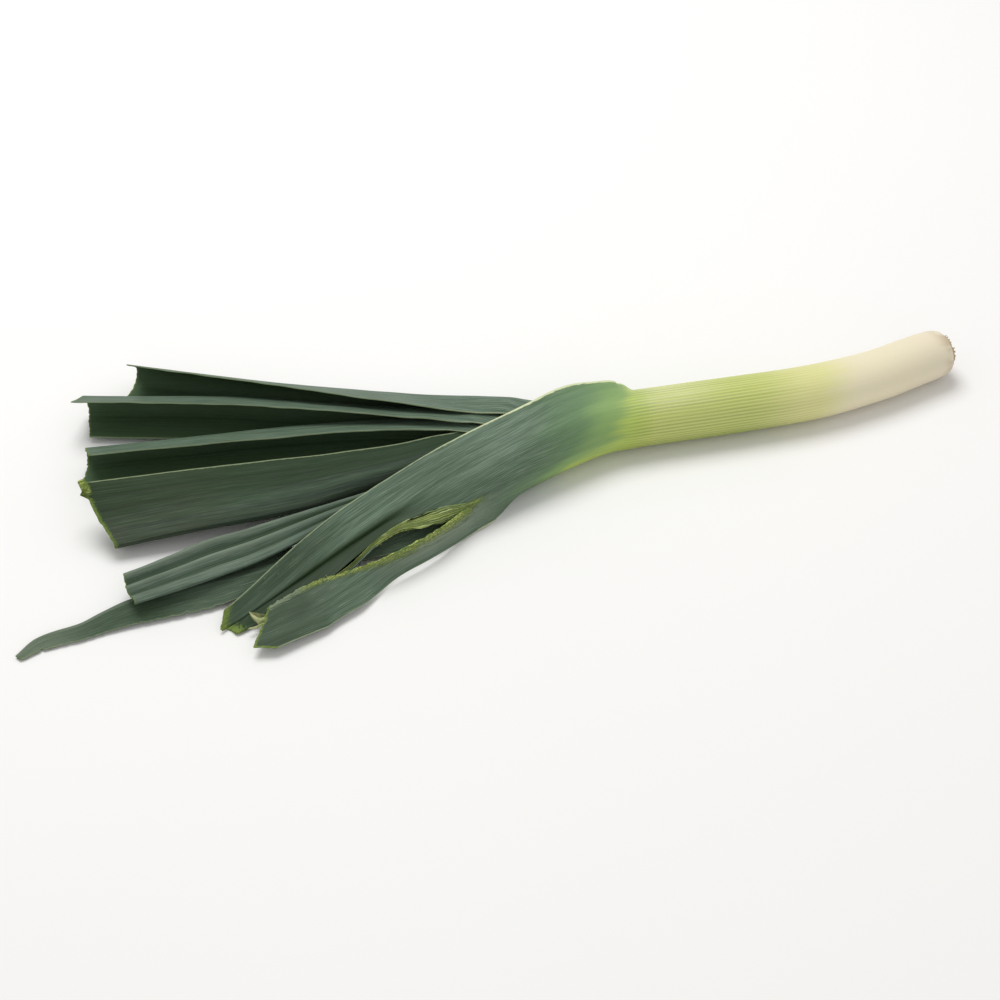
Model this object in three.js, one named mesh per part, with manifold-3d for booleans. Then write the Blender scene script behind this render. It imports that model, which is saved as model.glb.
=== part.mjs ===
// A leek, lying on its side: a pale shaft of wrapped leaf sheaths with trimmed roots at one end,
// and seven folded leaf blades that leave it in two ranks and fan out flat at the other.
// Units are millimetres, +Z is up. The roots point to +X, the leaves to -X, and the part rests on Z = 0.
import * as THREE from "three";
import { mergeVertices } from "three/addons/utils/BufferGeometryUtils.js";
import Module from "manifold-3d";

const wasm = await Module();
wasm.setup();

// ---- driving dimensions ----
const SHAFT_SIDES = 24; // facets round the shaft
const SHEATH_WALL = 0.9; // thickness of one leaf sheath
const SHEATH_GAP = 0.65; // clearance between neighbouring sheaths
const JOINT_GAP = 0.3; // clearance where a leaf or the root plate meets the shaft
const LEAF_EDGE = 0.8; // leaf thickness at its margins
const LEAF_RIB = 1.3; // leaf thickness at its keel
const RIB_START = 60; // distance from the collar over which the keel thickens
const LEAF_ROWS = 24; // rows of points along a leaf
const HALF_COLUMNS = 8; // columns of facets across each half of a leaf
const SHEATH_SLIT = 0.5; // half the gap between a sheath's edges where its mouth starts
const FLARE = 0.6; // how much wider the sheath gets before the keel leaves it
// How a sheath opens beyond its collar: [distance, how far the keel has left the sheath, then for
// the upper and the lower half: the angle it still turns through, its share of the half circle]
const MOUTH = [
  [12, 0.2, 172, 0.95, 172, 0.95],
  [24, 0.35, 138, 0.84, 138, 0.84],
  [36, 0.6, 104, 0.74, 104, 0.74],
  [48, 3, 90, 0.7, 90, 0.7],
];
const CUT_REACH = 40; // length of blade over which its cut end is shaped

// Middle line of the shaft, by distance from the root end: [distance, x, y, z]
const AXIS = [
  [0, 299, 126, 16.2],
  [27, 275, 114, 16.2],
  [63, 243, 97.5, 16.6],
  [106, 202, 82, 17.4],
  [162, 148, 69, 17.8],
  [218, 93, 57, 18.4],
  [262, 50, 47, 19.3],
  [306, 7, 37, 19.8],
];
// Outer radius of the shaft, by distance from the root end
const RADIUS = [
  [0, 10.5],
  [2, 13.2],
  [6, 15.4],
  [13, 16.5],
  [27, 16.9],
  [63, 17.3],
  [106, 18.1],
  [162, 18.5],
  [218, 18.6],
  [306, 18.6],
];
const COLLARS = [218, 232, 245, 257, 268, 278, 287]; // where each leaf's sheath opens
const SHAFT_START = 3;
const SHAFT_END = 297;

// Each leaf is a keel line with a folded half on either side of it. A row is one station:
//   [at, x, y, z, roll, upper half: radius, start, turn, width, lower half: the same four]
// at      distance from the leaf's collar; x, y, z is the point on the keel line
// roll    turn of the keel's outward direction up from the horizontal, in degrees
// radius  of the round fold beside the keel
// start, turn  the angles at which the half leaves the keel and to which it turns, in degrees:
//         0 stands along the leaf's own upright, 90 lies straight back behind the keel
// width   from the keel to the margin
// The stations at the collar are worked out from the shaft, so the tables start beyond it.
// cut: how much further the blade runs at five points from the lower to the upper margin.
// pleat: height of the lengthwise pleats as a share of the width; gully: depth in mm of the
//         hollow between the keel and the middle of the upper half.
const FRONT = 1; // keel towards -Y
const BACK = -1; // keel towards +Y
const LEAVES = [
  {
    name: "leaf_1_split",
    rank: FRONT,
    roll: 12,
    gully: 4,
    mouth: [
      [5, 0.05, 110, 0.85, 168, 0.95],
      [13, 0.4, 92, 0.83, 146, 0.88],
      [22, 0.6, 84, 0.845, 106, 0.78],
    ],
    rows: [
      [34, 64, 28.6, 23.2, 12, 18.6, 0, 84, 53, 18.6, 0, 98, 36],
      [64, 37, 12.5, 23.5, 8, 20, 0, 84, 48, 20, -5, 98, 32],
      [95, 12, -3.5, 23, 5, 16, 10, 80, 46, 16, -20, 40, 27],
      [130, -18, -24, 20, 4, 16, 15, 72, 44, 18, -30, -8, 20],
      [158, -42.5, -37.2, 17, 4, 30, 48, 66, 39.5, 16, -25, 50, 26],
      [180, -61, -48.6, 14, 4, 45, 70, 60, 37, 16, -25, 50, 26],
      [203, -79.3, -61, 10, 4, 45, 74, 57, 36, 16, -25, 50, 26],
      [225, -97, -73.3, 7, 4, 40, 80, 54, 33.5, 16, -25, 50, 26],
      [241, -110.2, -82.4, 4.8, 4, 30, 86, 52, 31, 16, -25, 50, 26],
      [265, -129.8, -96.2, 3.2, 4, 22, 98, 46, 26, 16, -25, 50, 26],
      [283, -144.6, -106.5, 2.5, 4, 14, 108, 44, 21.5, 16, -25, 50, 26],
    ],
    cut: [0, 0, 12, 20, 12],
    // The lower half is torn from the upper one from here on, and its torn edge runs by itself:
    // [at, x, y, z, roll, radius, start, turn, width]
    tear: [
      [130, -18, -24, 20, 4, 18, -30, -8, 20],
      [149, -30.5, -38, 20, 4, 18, -24, -6, 18.5],
      [167, -43.1, -49.9, 20, 4, 18, -20, -8, 17],
      [196, -67.4, -66.6, 19, 4, 20, -20, -16, 17],
      [222, -91.5, -77.1, 17, 4, 30, -46, -52, 23],
      [247, -114.6, -85, 14, 4, 30, -60, -68, 30],
      [273, -136.2, -99.8, 11, 4, 30, -68, -76, 28],
    ],
    tearCut: [2, 13, 6, -2, -8],
  },
  {
    name: "leaf_2",
    rank: BACK,
    roll: 0,
    mouth: MOUTH,
    rows: [
      [66, 10.5, 66, 16.5, -8, 17.5, 0, 96, 39, 17, 0, 84, 38],
      [90, -14, 71, 15.5, -8, 14, 0, 84, 39, 14, 0, 84, 38],
      [120, -43, 76.5, 13.5, -8, 10, 0, 70, 39, 10.5, 0, 82, 38],
      [165, -87, 85, 11.5, -8, 8, 0, 64, 39, 9, 0, 82, 37],
      [225, -145, 96, 8.4, -8, 8, 0, 58, 37, 8.5, 0, 82, 36],
      [325, -243, 113, 7.6, -8, 9, 0, 54, 34, 8.5, 0, 82, 34],
    ],
    cut: [5, 2, 0, -2, -3],
  },
  {
    name: "leaf_3_long",
    rank: FRONT,
    roll: 0,
    mouth: MOUTH,
    rows: [
      [66, 9, 8, 20.5, 8, 15.5, 0, 82, 30, 15.5, 0, 98, 29],
      [84, -6, -3, 19.5, 7, 12, 0, 76, 25, 12, 0, 92, 25],
      [101, -20, -13, 18.5, 6, 9, 10, 66, 21, 12, -10, 40, 17],
      [125, -40, -26, 15.5, 5, 8, 30, 70, 17, 16, -45, -50, 15],
      [149, -60.5, -37, 13, 5, 8, 45, 86, 17, 20, -52, -56, 14],
      [193, -100, -55, 10.4, 5, 8, 62, 96, 17, 20, -42, -48, 9],
      [223, -128, -65, 9.6, 5, 8, 75, 100, 17, 20, -46, -52, 10],
      [255, -158, -75.5, 8.8, 4, 8, 80, 102, 16, 20, -58, -62, 12],
      [271, -174, -79.5, 8, 4, 8, 82, 102, 15.5, 20, -62, -68, 15.2],
      [317, -218, -92.5, 6.5, 3, 8, 96, 126, 8, 20, -68, -74, 15.2],
      [334, -233, -101, 6, 2, 8, 100, 130, 6, 20, -66, -70, 12],
      [352, -247.6, -111, 5.5, 0, 8, 100, 130, 4, 20, -58, -64, 8.5],
      [377, -271.3, -120, 3.6, 0, 8, 96, 110, 2.5, 20, -68, -74, 7.5],
      [393, -282.2, -131.5, 1.6, 0, 8, 88, 90, 1.5, 20, -86, -88, 3.5],
    ],
    cut: [0, 0, 0, 0, 0],
  },
  {
    name: "leaf_4",
    rank: BACK,
    roll: 0,
    mouth: MOUTH,
    rows: [
      [66, -13.5, 57.5, 17, -8, 14.5, 0, 92, 34, 14, 0, 84, 34],
      [90, -37, 61.5, 16.5, -8, 10.5, 0, 76, 34, 11, 0, 83, 34],
      [120, -67, 66, 15, -8, 8, 0, 70, 34, 9, 0, 82, 34],
      [170, -116.5, 72, 13.5, -8, 7.5, 0, 66, 34, 8, 0, 82, 33],
      [235, -181, 78, 12.5, -8, 7.5, 0, 66, 33, 8, 0, 82, 32],
      [325, -271, 79.5, 11.5, -8, 8, 0, 66, 30, 8, 0, 82, 30],
    ],
    cut: [-5, -2, 0, 2, 4],
  },
  {
    name: "leaf_5_pleated",
    rank: FRONT,
    roll: 0,
    mouth: MOUTH,
    pleat: 0.075,
    rows: [
      [67, -14, 8, 21, 6, 10, 0, 74, 20, 10, 0, 92, 21],
      [90, -35, -2, 20.5, 5, 7, 10, 64, 19, 7, 0, 80, 18],
      [112, -55, -12, 20, 5, 6, 25, 70, 11, 5, 0, 80, 14],
      [132, -73, -21, 19.5, 4, 6, 40, 78, 10, 4, 0, 84, 14],
      [153, -92.3, -31, 18.5, 4, 6, 50, 82, 12.5, 3, 0, 86, 16],
      [189, -121.7, -51, 16.5, 4, 6, 60, 84, 21.5, 2.4, 0, 86, 18],
      [218, -146, -67, 15.5, 4, 6, 65, 86, 27.5, 2.2, 0, 86, 20],
      [241, -167, -77.5, 15, 4, 6, 65, 86, 29, 2.2, 0, 86, 21],
      [261, -185, -86, 14.5, 4, 6, 65, 86, 27.5, 2.2, 0, 86, 21],
      [294, -216, -99.5, 13.5, 4, 6, 65, 84, 24, 2.2, 0, 86, 21],
    ],
    cut: [-2, 0, 0, 2, 0],
  },
  {
    name: "leaf_6",
    rank: BACK,
    roll: 0,
    mouth: MOUTH,
    rows: [
      [66, -33.5, 49.5, 17.5, -8, 10.5, 0, 88, 26, 10.5, 0, 84, 26],
      [90, -57.5, 51.5, 17, -8, 8, 0, 76, 27, 8.5, 0, 83, 27],
      [120, -87.5, 52, 16, -8, 6.5, 0, 72, 28, 7.5, 0, 82, 28],
      [165, -132.5, 48.5, 15, -7, 6, 0, 70, 29, 7, 0, 82, 28],
      [225, -192, 41, 13.5, -7, 6, 0, 68, 28, 7, 0, 82, 27],
      [298, -264, 31, 11.5, -7, 7, 0, 68, 26, 7, 0, 82, 25],
    ],
    cut: [4, 1, 0, -1, -4],
  },
  {
    name: "leaf_7_heart",
    rank: FRONT,
    roll: 0,
    mouth: MOUTH,
    rows: [
      [66, -35, 12, 19.5, 5, 8, 0, 82, 23, 8, 0, 92, 22],
      [88, -56, 4, 18.5, 5, 7, 0, 76, 24, 7, 0, 88, 23],
      [124, -90, -9, 17, 5, 7, 0, 70, 29, 6, 0, 86, 26],
      [161, -123.6, -23, 16, 5, 8, 10, 68, 35.5, 5, 0, 86, 28],
      [219, -180, -36.5, 14, 5, 10, 20, 64, 39, 5, 0, 86, 28],
      [276, -235.2, -49.5, 10.5, 5, 12, 25, 58, 42.5, 5, 0, 86, 27],
    ],
    cut: [-3, 0, 0, 8, 13],
  },
];

// Trimmed roots
const PLATE_RADIUS = 12.6; // of the woody disc that closes the root end
const PLATE_BULGE = 3.6; // how far it bulges beyond the shaft
const ROOT_COUNT = 28;
const ROOT_RADIUS = 0.95;
const ROOT_LENGTH = [0.6, 1.9]; // shortest and longest stub
const ROOT_SIDES = 5;

const COLOURS = {
  shaft: "#d6d2a4",
  root_plate: "#b7a47c",
  leaf_1_split: "#5d7562",
  leaf_2: "#7c8f80",
  leaf_3_long: "#3f4a40",
  leaf_4: "#71847a",
  leaf_5_pleated: "#6d8070",
  leaf_6: "#5b6f62",
  leaf_7_heart: "#5a6f4c",
};

// ---- small tools ----

// Values of a keyed table at u: a smooth curve through its rows, straight beyond its ends.
function along(rows, u) {
  const last = rows.length - 1;
  const slope = (i, c) => {
    const a = rows[Math.max(i - 1, 0)];
    const b = rows[Math.min(i + 1, last)];
    return (b[c] - a[c]) / (b[0] - a[0]);
  };
  const end = u <= rows[0][0] ? 0 : u >= rows[last][0] ? last : -1;
  if (end >= 0) {
    return rows[end].slice(1).map((value, c) => value + slope(end, c + 1) * (u - rows[end][0]));
  }
  const i = rows.findIndex((row, n) => n < last && rows[n + 1][0] > u);
  const [p, q] = [rows[i], rows[i + 1]];
  const h = q[0] - p[0];
  const t = (u - p[0]) / h;
  return p.slice(1).map((value, c) => {
    const k = c + 1;
    return (
      value * (2 * t ** 3 - 3 * t ** 2 + 1) +
      slope(i, k) * h * (t ** 3 - 2 * t ** 2 + t) +
      q[k] * (3 * t ** 2 - 2 * t ** 3) +
      slope(i + 1, k) * h * (t ** 3 - t ** 2)
    );
  });
}

// Straight-line value of evenly spaced numbers at t from 0 to 1.
function evenly(values, t) {
  const x = THREE.MathUtils.clamp(t, 0, 1) * (values.length - 1);
  const i = Math.min(Math.floor(x), values.length - 2);
  return THREE.MathUtils.lerp(values[i], values[i + 1], x - i);
}

function pointAlong(rows, u) {
  const [x, y, z] = along(rows, u);
  return new THREE.Vector3(x, y, z);
}

// Outward and upright directions of a section whose line runs along `run`.
function sectionAxes(run, rank, roll) {
  const up = new THREE.Vector3(0, 0, 1);
  const side = new THREE.Vector3().crossVectors(up, run).multiplyScalar(rank).normalize();
  const rise = new THREE.Vector3().crossVectors(run, side).multiplyScalar(rank).normalize();
  const turn = THREE.MathUtils.degToRad(roll);
  const out = side.clone().multiplyScalar(Math.cos(turn)).addScaledVector(rise, Math.sin(turn));
  const stand = side.clone().multiplyScalar(-Math.sin(turn)).addScaledVector(rise, Math.cos(turn));
  return { out, stand };
}

function runAt(rows, u) {
  return pointAlong(rows, u + 1).sub(pointAlong(rows, u - 1)).normalize();
}

// ---- a leaf ----

function sheathRadius(index) {
  return RADIUS[RADIUS.length - 1][1] - SHEATH_WALL / 2 - index * (SHEATH_WALL + SHEATH_GAP);
}

// The leaf's table, with the stations of its tube-shaped mouth put before the others.
function leafRows(leaf, index) {
  const radius = sheathRadius(index);
  const half = Math.PI * radius;
  const whole = 1 - SHEATH_SLIT / half;
  const mouth = [[JOINT_GAP, 0, 180, whole, 180, whole], ...leaf.mouth].map((row) => {
    const [at, drift, upTurn, upShare, lowTurn, lowShare] = row;
    const s = COLLARS[index] + at;
    const { out } = sectionAxes(runAt(AXIS, s), leaf.rank, leaf.roll);
    const keel = pointAlong(AXIS, s).addScaledVector(out, radius + drift);
    const fold = radius + Math.min(drift, FLARE);
    const upper = [fold, 0, upTurn, half * upShare];
    const lower = [fold, 0, lowTurn, half * lowShare];
    return [at, keel.x, keel.y, keel.z, leaf.roll, ...upper, ...lower];
  });
  return [...mouth, ...leaf.rows];
}

// A point at arc length `reach` from the keel point on one half: sign +1 is the upper half.
function acrossHalf(keel, axes, sign, [radius, start, turn], reach) {
  const from = THREE.MathUtils.degToRad(start);
  const to = THREE.MathUtils.degToRad(turn);
  const way = Math.sign(to - from) || 1;
  const round = Math.min(reach, Math.abs(to - from) * radius);
  const angle = from + (way * round) / radius;
  const rest = reach - round;
  const rise = way * radius * (Math.sin(angle) - Math.sin(from)) + rest * Math.cos(angle);
  const back = way * radius * (Math.cos(from) - Math.cos(angle)) + rest * Math.sin(angle);
  return keel
    .clone()
    .addScaledVector(axes.stand, sign * rise)
    .addScaledVector(axes.out, -back);
}

// The middle surface of a leaf: rows of points from the lower margin to the upper one, with the
// keel column there twice. Past the start of a tear the two keel columns part.
function leafSurface(leaf, rows, stations) {
  const end = stations[stations.length - 1];
  const halfPoint = (table, offset, sign, u, v, cuts, place) => {
    const pull = THREE.MathUtils.smoothstep(u, end - CUT_REACH, end);
    const at = u + evenly(cuts, place) * pull;
    const values = along(table, at);
    const axes = sectionAxes(runAt(table, at), leaf.rank, values[3]);
    const section = values.slice(offset, offset + 4);
    const keel = new THREE.Vector3(...values.slice(0, 3));
    const reach = Math.abs(v) * section[3];
    const p = acrossHalf(keel, axes, sign, section, reach);
    if (leaf.pleat && sign > 0) {
      const wave = leaf.pleat * section[3] * THREE.MathUtils.smoothstep(at, 90, 170);
      p.addScaledVector(axes.stand, wave * Math.sin(5 * Math.PI * v) * Math.min(1, 3 * v));
    }
    if (leaf.gully && sign > 0) {
      const depth = leaf.gully * THREE.MathUtils.smoothstep(at, 135, 185);
      p.addScaledVector(axes.out, -depth * Math.sin(Math.PI * Math.min(2 * v, 1)) ** 2);
    }
    return p;
  };
  return stations.map((u) => {
    const row = [];
    const torn = leaf.tear && u > leaf.tear[0][0];
    for (let j = HALF_COLUMNS; j >= 0; j--) {
      const v = -j / HALF_COLUMNS;
      if (torn) {
        row.push(halfPoint(leaf.tear, 4, -1, u, v, leaf.tearCut, v + 1));
      } else {
        row.push(halfPoint(rows, 8, -1, u, v, leaf.cut, (v + 1) / 2));
      }
    }
    for (let j = 0; j <= HALF_COLUMNS; j++) {
      const v = j / HALF_COLUMNS;
      row.push(halfPoint(rows, 4, 1, u, v, leaf.cut, (v + 1) / 2));
    }
    return row;
  });
}

function stationsFor(leaf, rows) {
  const end = rows[rows.length - 1][0];
  const start = rows[0][0];
  const list = [];
  for (let i = 0; i < LEAF_ROWS; i++) {
    const t = i / (LEAF_ROWS - 1);
    list.push(start + (end - start) * (0.5 * t + 0.5 * t * t));
  }
  if (leaf.tear) {
    // one station sits exactly where the tear starts
    const tear = leaf.tear[0][0];
    let best = 0;
    list.forEach((u, i) => {
      if (Math.abs(u - tear) < Math.abs(list[best] - tear)) best = i;
    });
    list[best] = tear;
  }
  return list;
}

// A closed solid from triangles given as lists of points.
function solid(triangles) {
  const positions = [];
  for (const t of triangles) for (const p of t) positions.push(p.x, p.y, p.z);
  const geometry = new THREE.BufferGeometry();
  geometry.setAttribute("position", new THREE.Float32BufferAttribute(positions, 3));
  return mergeVertices(geometry, 1e-4);
}

function leafGeometry(leaf, index) {
  const rows = leafRows(leaf, index);
  const stations = stationsFor(leaf, rows);
  const middle = leafSurface(leaf, rows, stations);
  const seam = HALF_COLUMNS; // the lower half's keel column; the upper half's is the next one
  const columns = 2 * HALF_COLUMNS + 2;
  const tearRow = leaf.tear ? stations.indexOf(leaf.tear[0][0]) : LEAF_ROWS;

  const normalAt = (i, j) => {
    const parted = i > tearRow;
    const lower = j <= seam;
    let [a, b] = [j - 1, j + 1];
    if (!parted && j === seam) b = seam + 2;
    if (!parted && j === seam + 1) a = seam - 1;
    a = Math.max(a, parted && !lower ? seam + 1 : 0);
    b = Math.min(b, parted && lower ? seam : columns - 1);
    const back = Math.max(i - 1, 0);
    const next = i === tearRow ? i : Math.min(i + 1, LEAF_ROWS - 1);
    const across = middle[i][b].clone().sub(middle[i][a]);
    const lengthwise = middle[next][j].clone().sub(middle[back][j]);
    return across.cross(lengthwise).multiplyScalar(leaf.rank).normalize();
  };
  const thicknessAt = (i, j) => {
    const v = Math.abs(j <= seam ? j - seam : j - seam - 1) / HALF_COLUMNS;
    const blade = THREE.MathUtils.lerp(LEAF_RIB, LEAF_EDGE, 1 - (1 - v) ** 2);
    return THREE.MathUtils.lerp(SHEATH_WALL, blade, Math.min(stations[i] / RIB_START, 1));
  };
  const outer = [];
  const inner = [];
  middle.forEach((row, i) => {
    outer.push([]);
    inner.push([]);
    row.forEach((p, j) => {
      const normal = normalAt(i, j);
      const half = thicknessAt(i, j) / 2;
      const rest = p.clone();
      rest.z = Math.max(rest.z, half); // a blade lies on the table, not in it
      outer[i].push(rest.clone().addScaledVector(normal, half));
      inner[i].push(rest.clone().addScaledVector(normal, -half));
    });
  });

  const triangles = [];
  const quad = (a, b, c, d) => {
    if (leaf.rank > 0) triangles.push([a, b, c], [a, c, d]);
    else triangles.push([a, c, b], [a, d, c]);
  };
  const wall = (j, i, face) => {
    const edge = [outer[i][j], outer[i + 1][j], inner[i + 1][j], inner[i][j]];
    if (face > 0) edge.reverse();
    quad(...edge);
  };
  for (let i = 0; i < LEAF_ROWS - 1; i++) {
    for (let j = 0; j < columns - 1; j++) {
      if (j === seam) continue;
      // both faces are split on the line that leans towards the margin
      const [m, n] = j < seam ? [j + 1, j] : [j, j + 1];
      const corners = (face) => [face[i][m], face[i][n], face[i + 1][n], face[i + 1][m]];
      const [front, back] = j < seam ? [inner, outer] : [outer, inner];
      quad(...corners(front));
      const [a, b, c, d] = corners(back);
      quad(a, d, c, b);
    }
    wall(0, i, -1);
    wall(columns - 1, i, 1);
    if (i >= tearRow) {
      wall(seam, i, 1);
      wall(seam + 1, i, -1);
    }
  }
  const last = LEAF_ROWS - 1;
  for (let j = 0; j < columns - 1; j++) {
    if (j === seam) continue;
    quad(outer[0][j], inner[0][j], inner[0][j + 1], outer[0][j + 1]);
    quad(outer[last][j], outer[last][j + 1], inner[last][j + 1], inner[last][j]);
  }
  return solid(triangles);
}

// ---- the shaft ----

function shaftGeometry() {
  const rings = [];
  const ring = (s, radius) => {
    const { out, stand } = sectionAxes(runAt(AXIS, s), FRONT, 0);
    const centre = pointAlong(AXIS, s);
    rings.push(
      Array.from({ length: SHAFT_SIDES }, (_, n) => {
        const angle = (2 * Math.PI * n) / SHAFT_SIDES;
        const p = centre
          .clone()
          .addScaledVector(out, radius * Math.cos(angle))
          .addScaledVector(stand, radius * Math.sin(angle));
        p.z = Math.max(p.z, 0); // the flat strip that the shaft rests on
        return p;
      }),
    );
  };
  const outside = (s) => along(RADIUS, s)[0];
  for (const s of [SHAFT_START, 6, 13, 27, 45, 63, 85, 106, 134, 162, 190]) ring(s, outside(s));
  COLLARS.forEach((collar, k) => {
    const step = SHEATH_WALL + SHEATH_GAP;
    ring(collar, outside(collar) - k * step);
    ring(collar, outside(collar) - (k + 1) * step);
  });
  const heart = outside(SHAFT_END) - COLLARS.length * (SHEATH_WALL + SHEATH_GAP);
  ring(SHAFT_END - 5, heart);
  ring(SHAFT_END - 2, heart * 0.8);
  ring(SHAFT_END, heart * 0.4);

  const triangles = [];
  for (let i = 0; i < rings.length - 1; i++) {
    for (let n = 0; n < SHAFT_SIDES; n++) {
      const m = (n + 1) % SHAFT_SIDES;
      const [a, b, c, d] = [rings[i][n], rings[i][m], rings[i + 1][m], rings[i + 1][n]];
      triangles.push([a, b, c], [a, c, d]);
    }
  }
  const cap = (points, s, turned) => {
    const centre = pointAlong(AXIS, s);
    points.forEach((p, n) => {
      const q = points[(n + 1) % SHAFT_SIDES];
      triangles.push(turned ? [centre, q, p] : [centre, p, q]);
    });
  };
  cap(rings[0], SHAFT_START, true);
  cap(rings[rings.length - 1], SHAFT_END, false);
  return solid(triangles);
}

// ---- the root plate with its trimmed roots ----

// Repeatable random numbers from 0 to 1.
function seeded(seed) {
  let state = seed;
  return () => {
    state = (state * 1664525 + 1013904223) % 4294967296;
    return state / 4294967296;
  };
}

function toManifold(geometry) {
  const bare = geometry.clone();
  bare.deleteAttribute("normal");
  bare.deleteAttribute("uv");
  const merged = mergeVertices(bare, 1e-4);
  return new wasm.Manifold(
    new wasm.Mesh({
      numProp: 3,
      vertProperties: new Float32Array(merged.attributes.position.array),
      triVerts: new Uint32Array(merged.index.array),
    }),
  );
}

function fromManifold(body) {
  const mesh = body.getMesh();
  const geometry = new THREE.BufferGeometry();
  geometry.setAttribute("position", new THREE.Float32BufferAttribute(mesh.vertProperties, 3));
  geometry.setIndex(new THREE.Uint32BufferAttribute(mesh.triVerts, 1));
  return geometry;
}

// Turned along +Y, its back at Y = 0: the shaft's root end stands there.
function rootPlateGeometry() {
  const profile = [
    [0, 0],
    [PLATE_RADIUS, 0],
    [PLATE_RADIUS * 0.98, PLATE_BULGE * 0.32],
    [PLATE_RADIUS * 0.8, PLATE_BULGE * 0.72],
    [PLATE_RADIUS * 0.45, PLATE_BULGE * 0.95],
    [0, PLATE_BULGE],
  ].map(([r, y]) => new THREE.Vector2(r, y));
  let body = toManifold(new THREE.LatheGeometry(profile, SHAFT_SIDES));
  const random = seeded(7);
  const golden = Math.PI * (3 - Math.sqrt(5));
  for (let n = 0; n < ROOT_COUNT; n++) {
    const far = Math.sqrt((n + 0.5) / ROOT_COUNT);
    const angle = n * golden + 0.5 * random();
    const r = PLATE_RADIUS * 0.9 * far;
    const base = PLATE_BULGE * (1 - 0.62 * far * far) - 1;
    const length = 1 + THREE.MathUtils.lerp(...ROOT_LENGTH, random());
    const lean = 0.55 * far + 0.2 * (random() - 0.5);
    const stub = new THREE.CylinderGeometry(ROOT_RADIUS * 0.8, ROOT_RADIUS, length, ROOT_SIDES);
    stub.translate(0, length / 2, 0);
    stub.rotateZ(-lean);
    stub.rotateY(-angle);
    stub.translate(r * Math.cos(angle), base, r * Math.sin(angle));
    body = body.add(toManifold(stub));
  }
  return fromManifold(body);
}

// ---- the object ----

function part(name, geometry, roughness) {
  const material = new THREE.MeshStandardMaterial({ color: COLOURS[name], roughness, metalness: 0 });
  const mesh = new THREE.Mesh(geometry, material);
  mesh.name = name;
  return mesh;
}

const leek = new THREE.Group();
leek.add(part("shaft", shaftGeometry(), 0.45));

const rootPlate = part("root_plate", rootPlateGeometry(), 0.85);
rootPlate.position.copy(pointAlong(AXIS, SHAFT_START - JOINT_GAP));
const outwards = runAt(AXIS, SHAFT_START).multiplyScalar(-1);
rootPlate.quaternion.setFromUnitVectors(new THREE.Vector3(0, 1, 0), outwards);
leek.add(rootPlate);

LEAVES.forEach((leaf, index) => leek.add(part(leaf.name, leafGeometry(leaf, index), 0.5)));

// The origin goes under the middle of the whole leek, on the table.
leek.updateMatrixWorld(true);
const box = new THREE.Box3().setFromObject(leek, true);
const middle = box.getCenter(new THREE.Vector3());
leek.position.set(-middle.x, -middle.y, -box.min.z);

export default leek;
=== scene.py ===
"""A leek lying on its side: a ribbed shank with trimmed roots and seven folded leaf blades.

Each piece has its own operator, and the leek's measures and colours are properties in the sidebar.
Lengths in the tables are millimetres, from the same base point as the solids' own tables.
"""

import math
import random
from bisect import bisect_right
from typing import NamedTuple

import bmesh
import bpy
from bpy.props import FloatProperty, FloatVectorProperty, IntProperty, PointerProperty
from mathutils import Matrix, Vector, noise


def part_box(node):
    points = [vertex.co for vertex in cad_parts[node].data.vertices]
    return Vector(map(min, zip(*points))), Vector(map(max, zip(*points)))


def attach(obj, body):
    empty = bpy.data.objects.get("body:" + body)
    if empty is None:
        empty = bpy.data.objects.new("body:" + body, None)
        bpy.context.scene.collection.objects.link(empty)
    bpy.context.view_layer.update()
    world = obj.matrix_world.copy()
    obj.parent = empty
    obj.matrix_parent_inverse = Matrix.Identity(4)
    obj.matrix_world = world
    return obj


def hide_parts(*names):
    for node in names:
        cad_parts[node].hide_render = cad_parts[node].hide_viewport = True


bl_info = {
    "name": "Leek",
    "version": (1, 0, 0),
    "blender": (4, 5, 0),
    "location": "View3D > Sidebar > Leek",
    "description": "Models a leek lying on its side, with ribbed shank, roots and folded leaves",
    "category": "Add Mesh",
}

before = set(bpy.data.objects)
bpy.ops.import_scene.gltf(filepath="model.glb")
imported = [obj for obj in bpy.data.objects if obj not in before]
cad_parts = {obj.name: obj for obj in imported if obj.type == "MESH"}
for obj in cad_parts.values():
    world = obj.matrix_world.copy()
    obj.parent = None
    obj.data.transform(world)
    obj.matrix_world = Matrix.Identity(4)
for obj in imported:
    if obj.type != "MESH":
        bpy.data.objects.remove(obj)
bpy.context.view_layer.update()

MM = 0.001
FULL_TURN = 2 * math.pi
SHARP_EDGE = math.radians(55)
FRONT = 1  # keel towards -Y
BACK = -1  # keel towards +Y

# Middle line of the shank, by distance from the root end: [distance, x, y, z]
AXIS_ROWS = [
    [0, 299, 126, 16.2],
    [27, 275, 114, 16.2],
    [63, 243, 97.5, 16.6],
    [106, 202, 82, 17.4],
    [162, 148, 69, 17.8],
    [218, 93, 57, 18.4],
    [262, 50, 47, 19.3],
    [306, 7, 37, 19.8],
]
# Outer radius of the shank, by distance from the root end
RADIUS_ROWS = [
    [0, 10.5],
    [2, 13.2],
    [6, 15.4],
    [13, 16.5],
    [27, 16.9],
    [63, 17.3],
    [106, 18.1],
    [162, 18.5],
    [218, 18.6],
    [306, 18.6],
]
COLLARS = [218, 232, 245, 257, 268, 278, 287]  # where each leaf's sheath opens
SHANK_START = 3
SHANK_END = 297
SHEATH_WALL = 0.9
SHEATH_GAP = 0.65
SHEATH_SLIT = 0.5  # half the gap between a sheath's edges where its mouth starts
JOINT_GAP = 0.3
TUCK = 0.7  # how far a sheath's mouth is tucked under the collar it comes out of
FLARE = 0.6  # how much wider the sheath gets before the keel leaves it
CUT_REACH = 40  # length of blade over which its cut end is shaped
LIP_LENGTH = 30  # length of blade over which the heart leaf's corner grows longer
CURL_RADIUS = 2.3  # of that corner, which is rolled up
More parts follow.
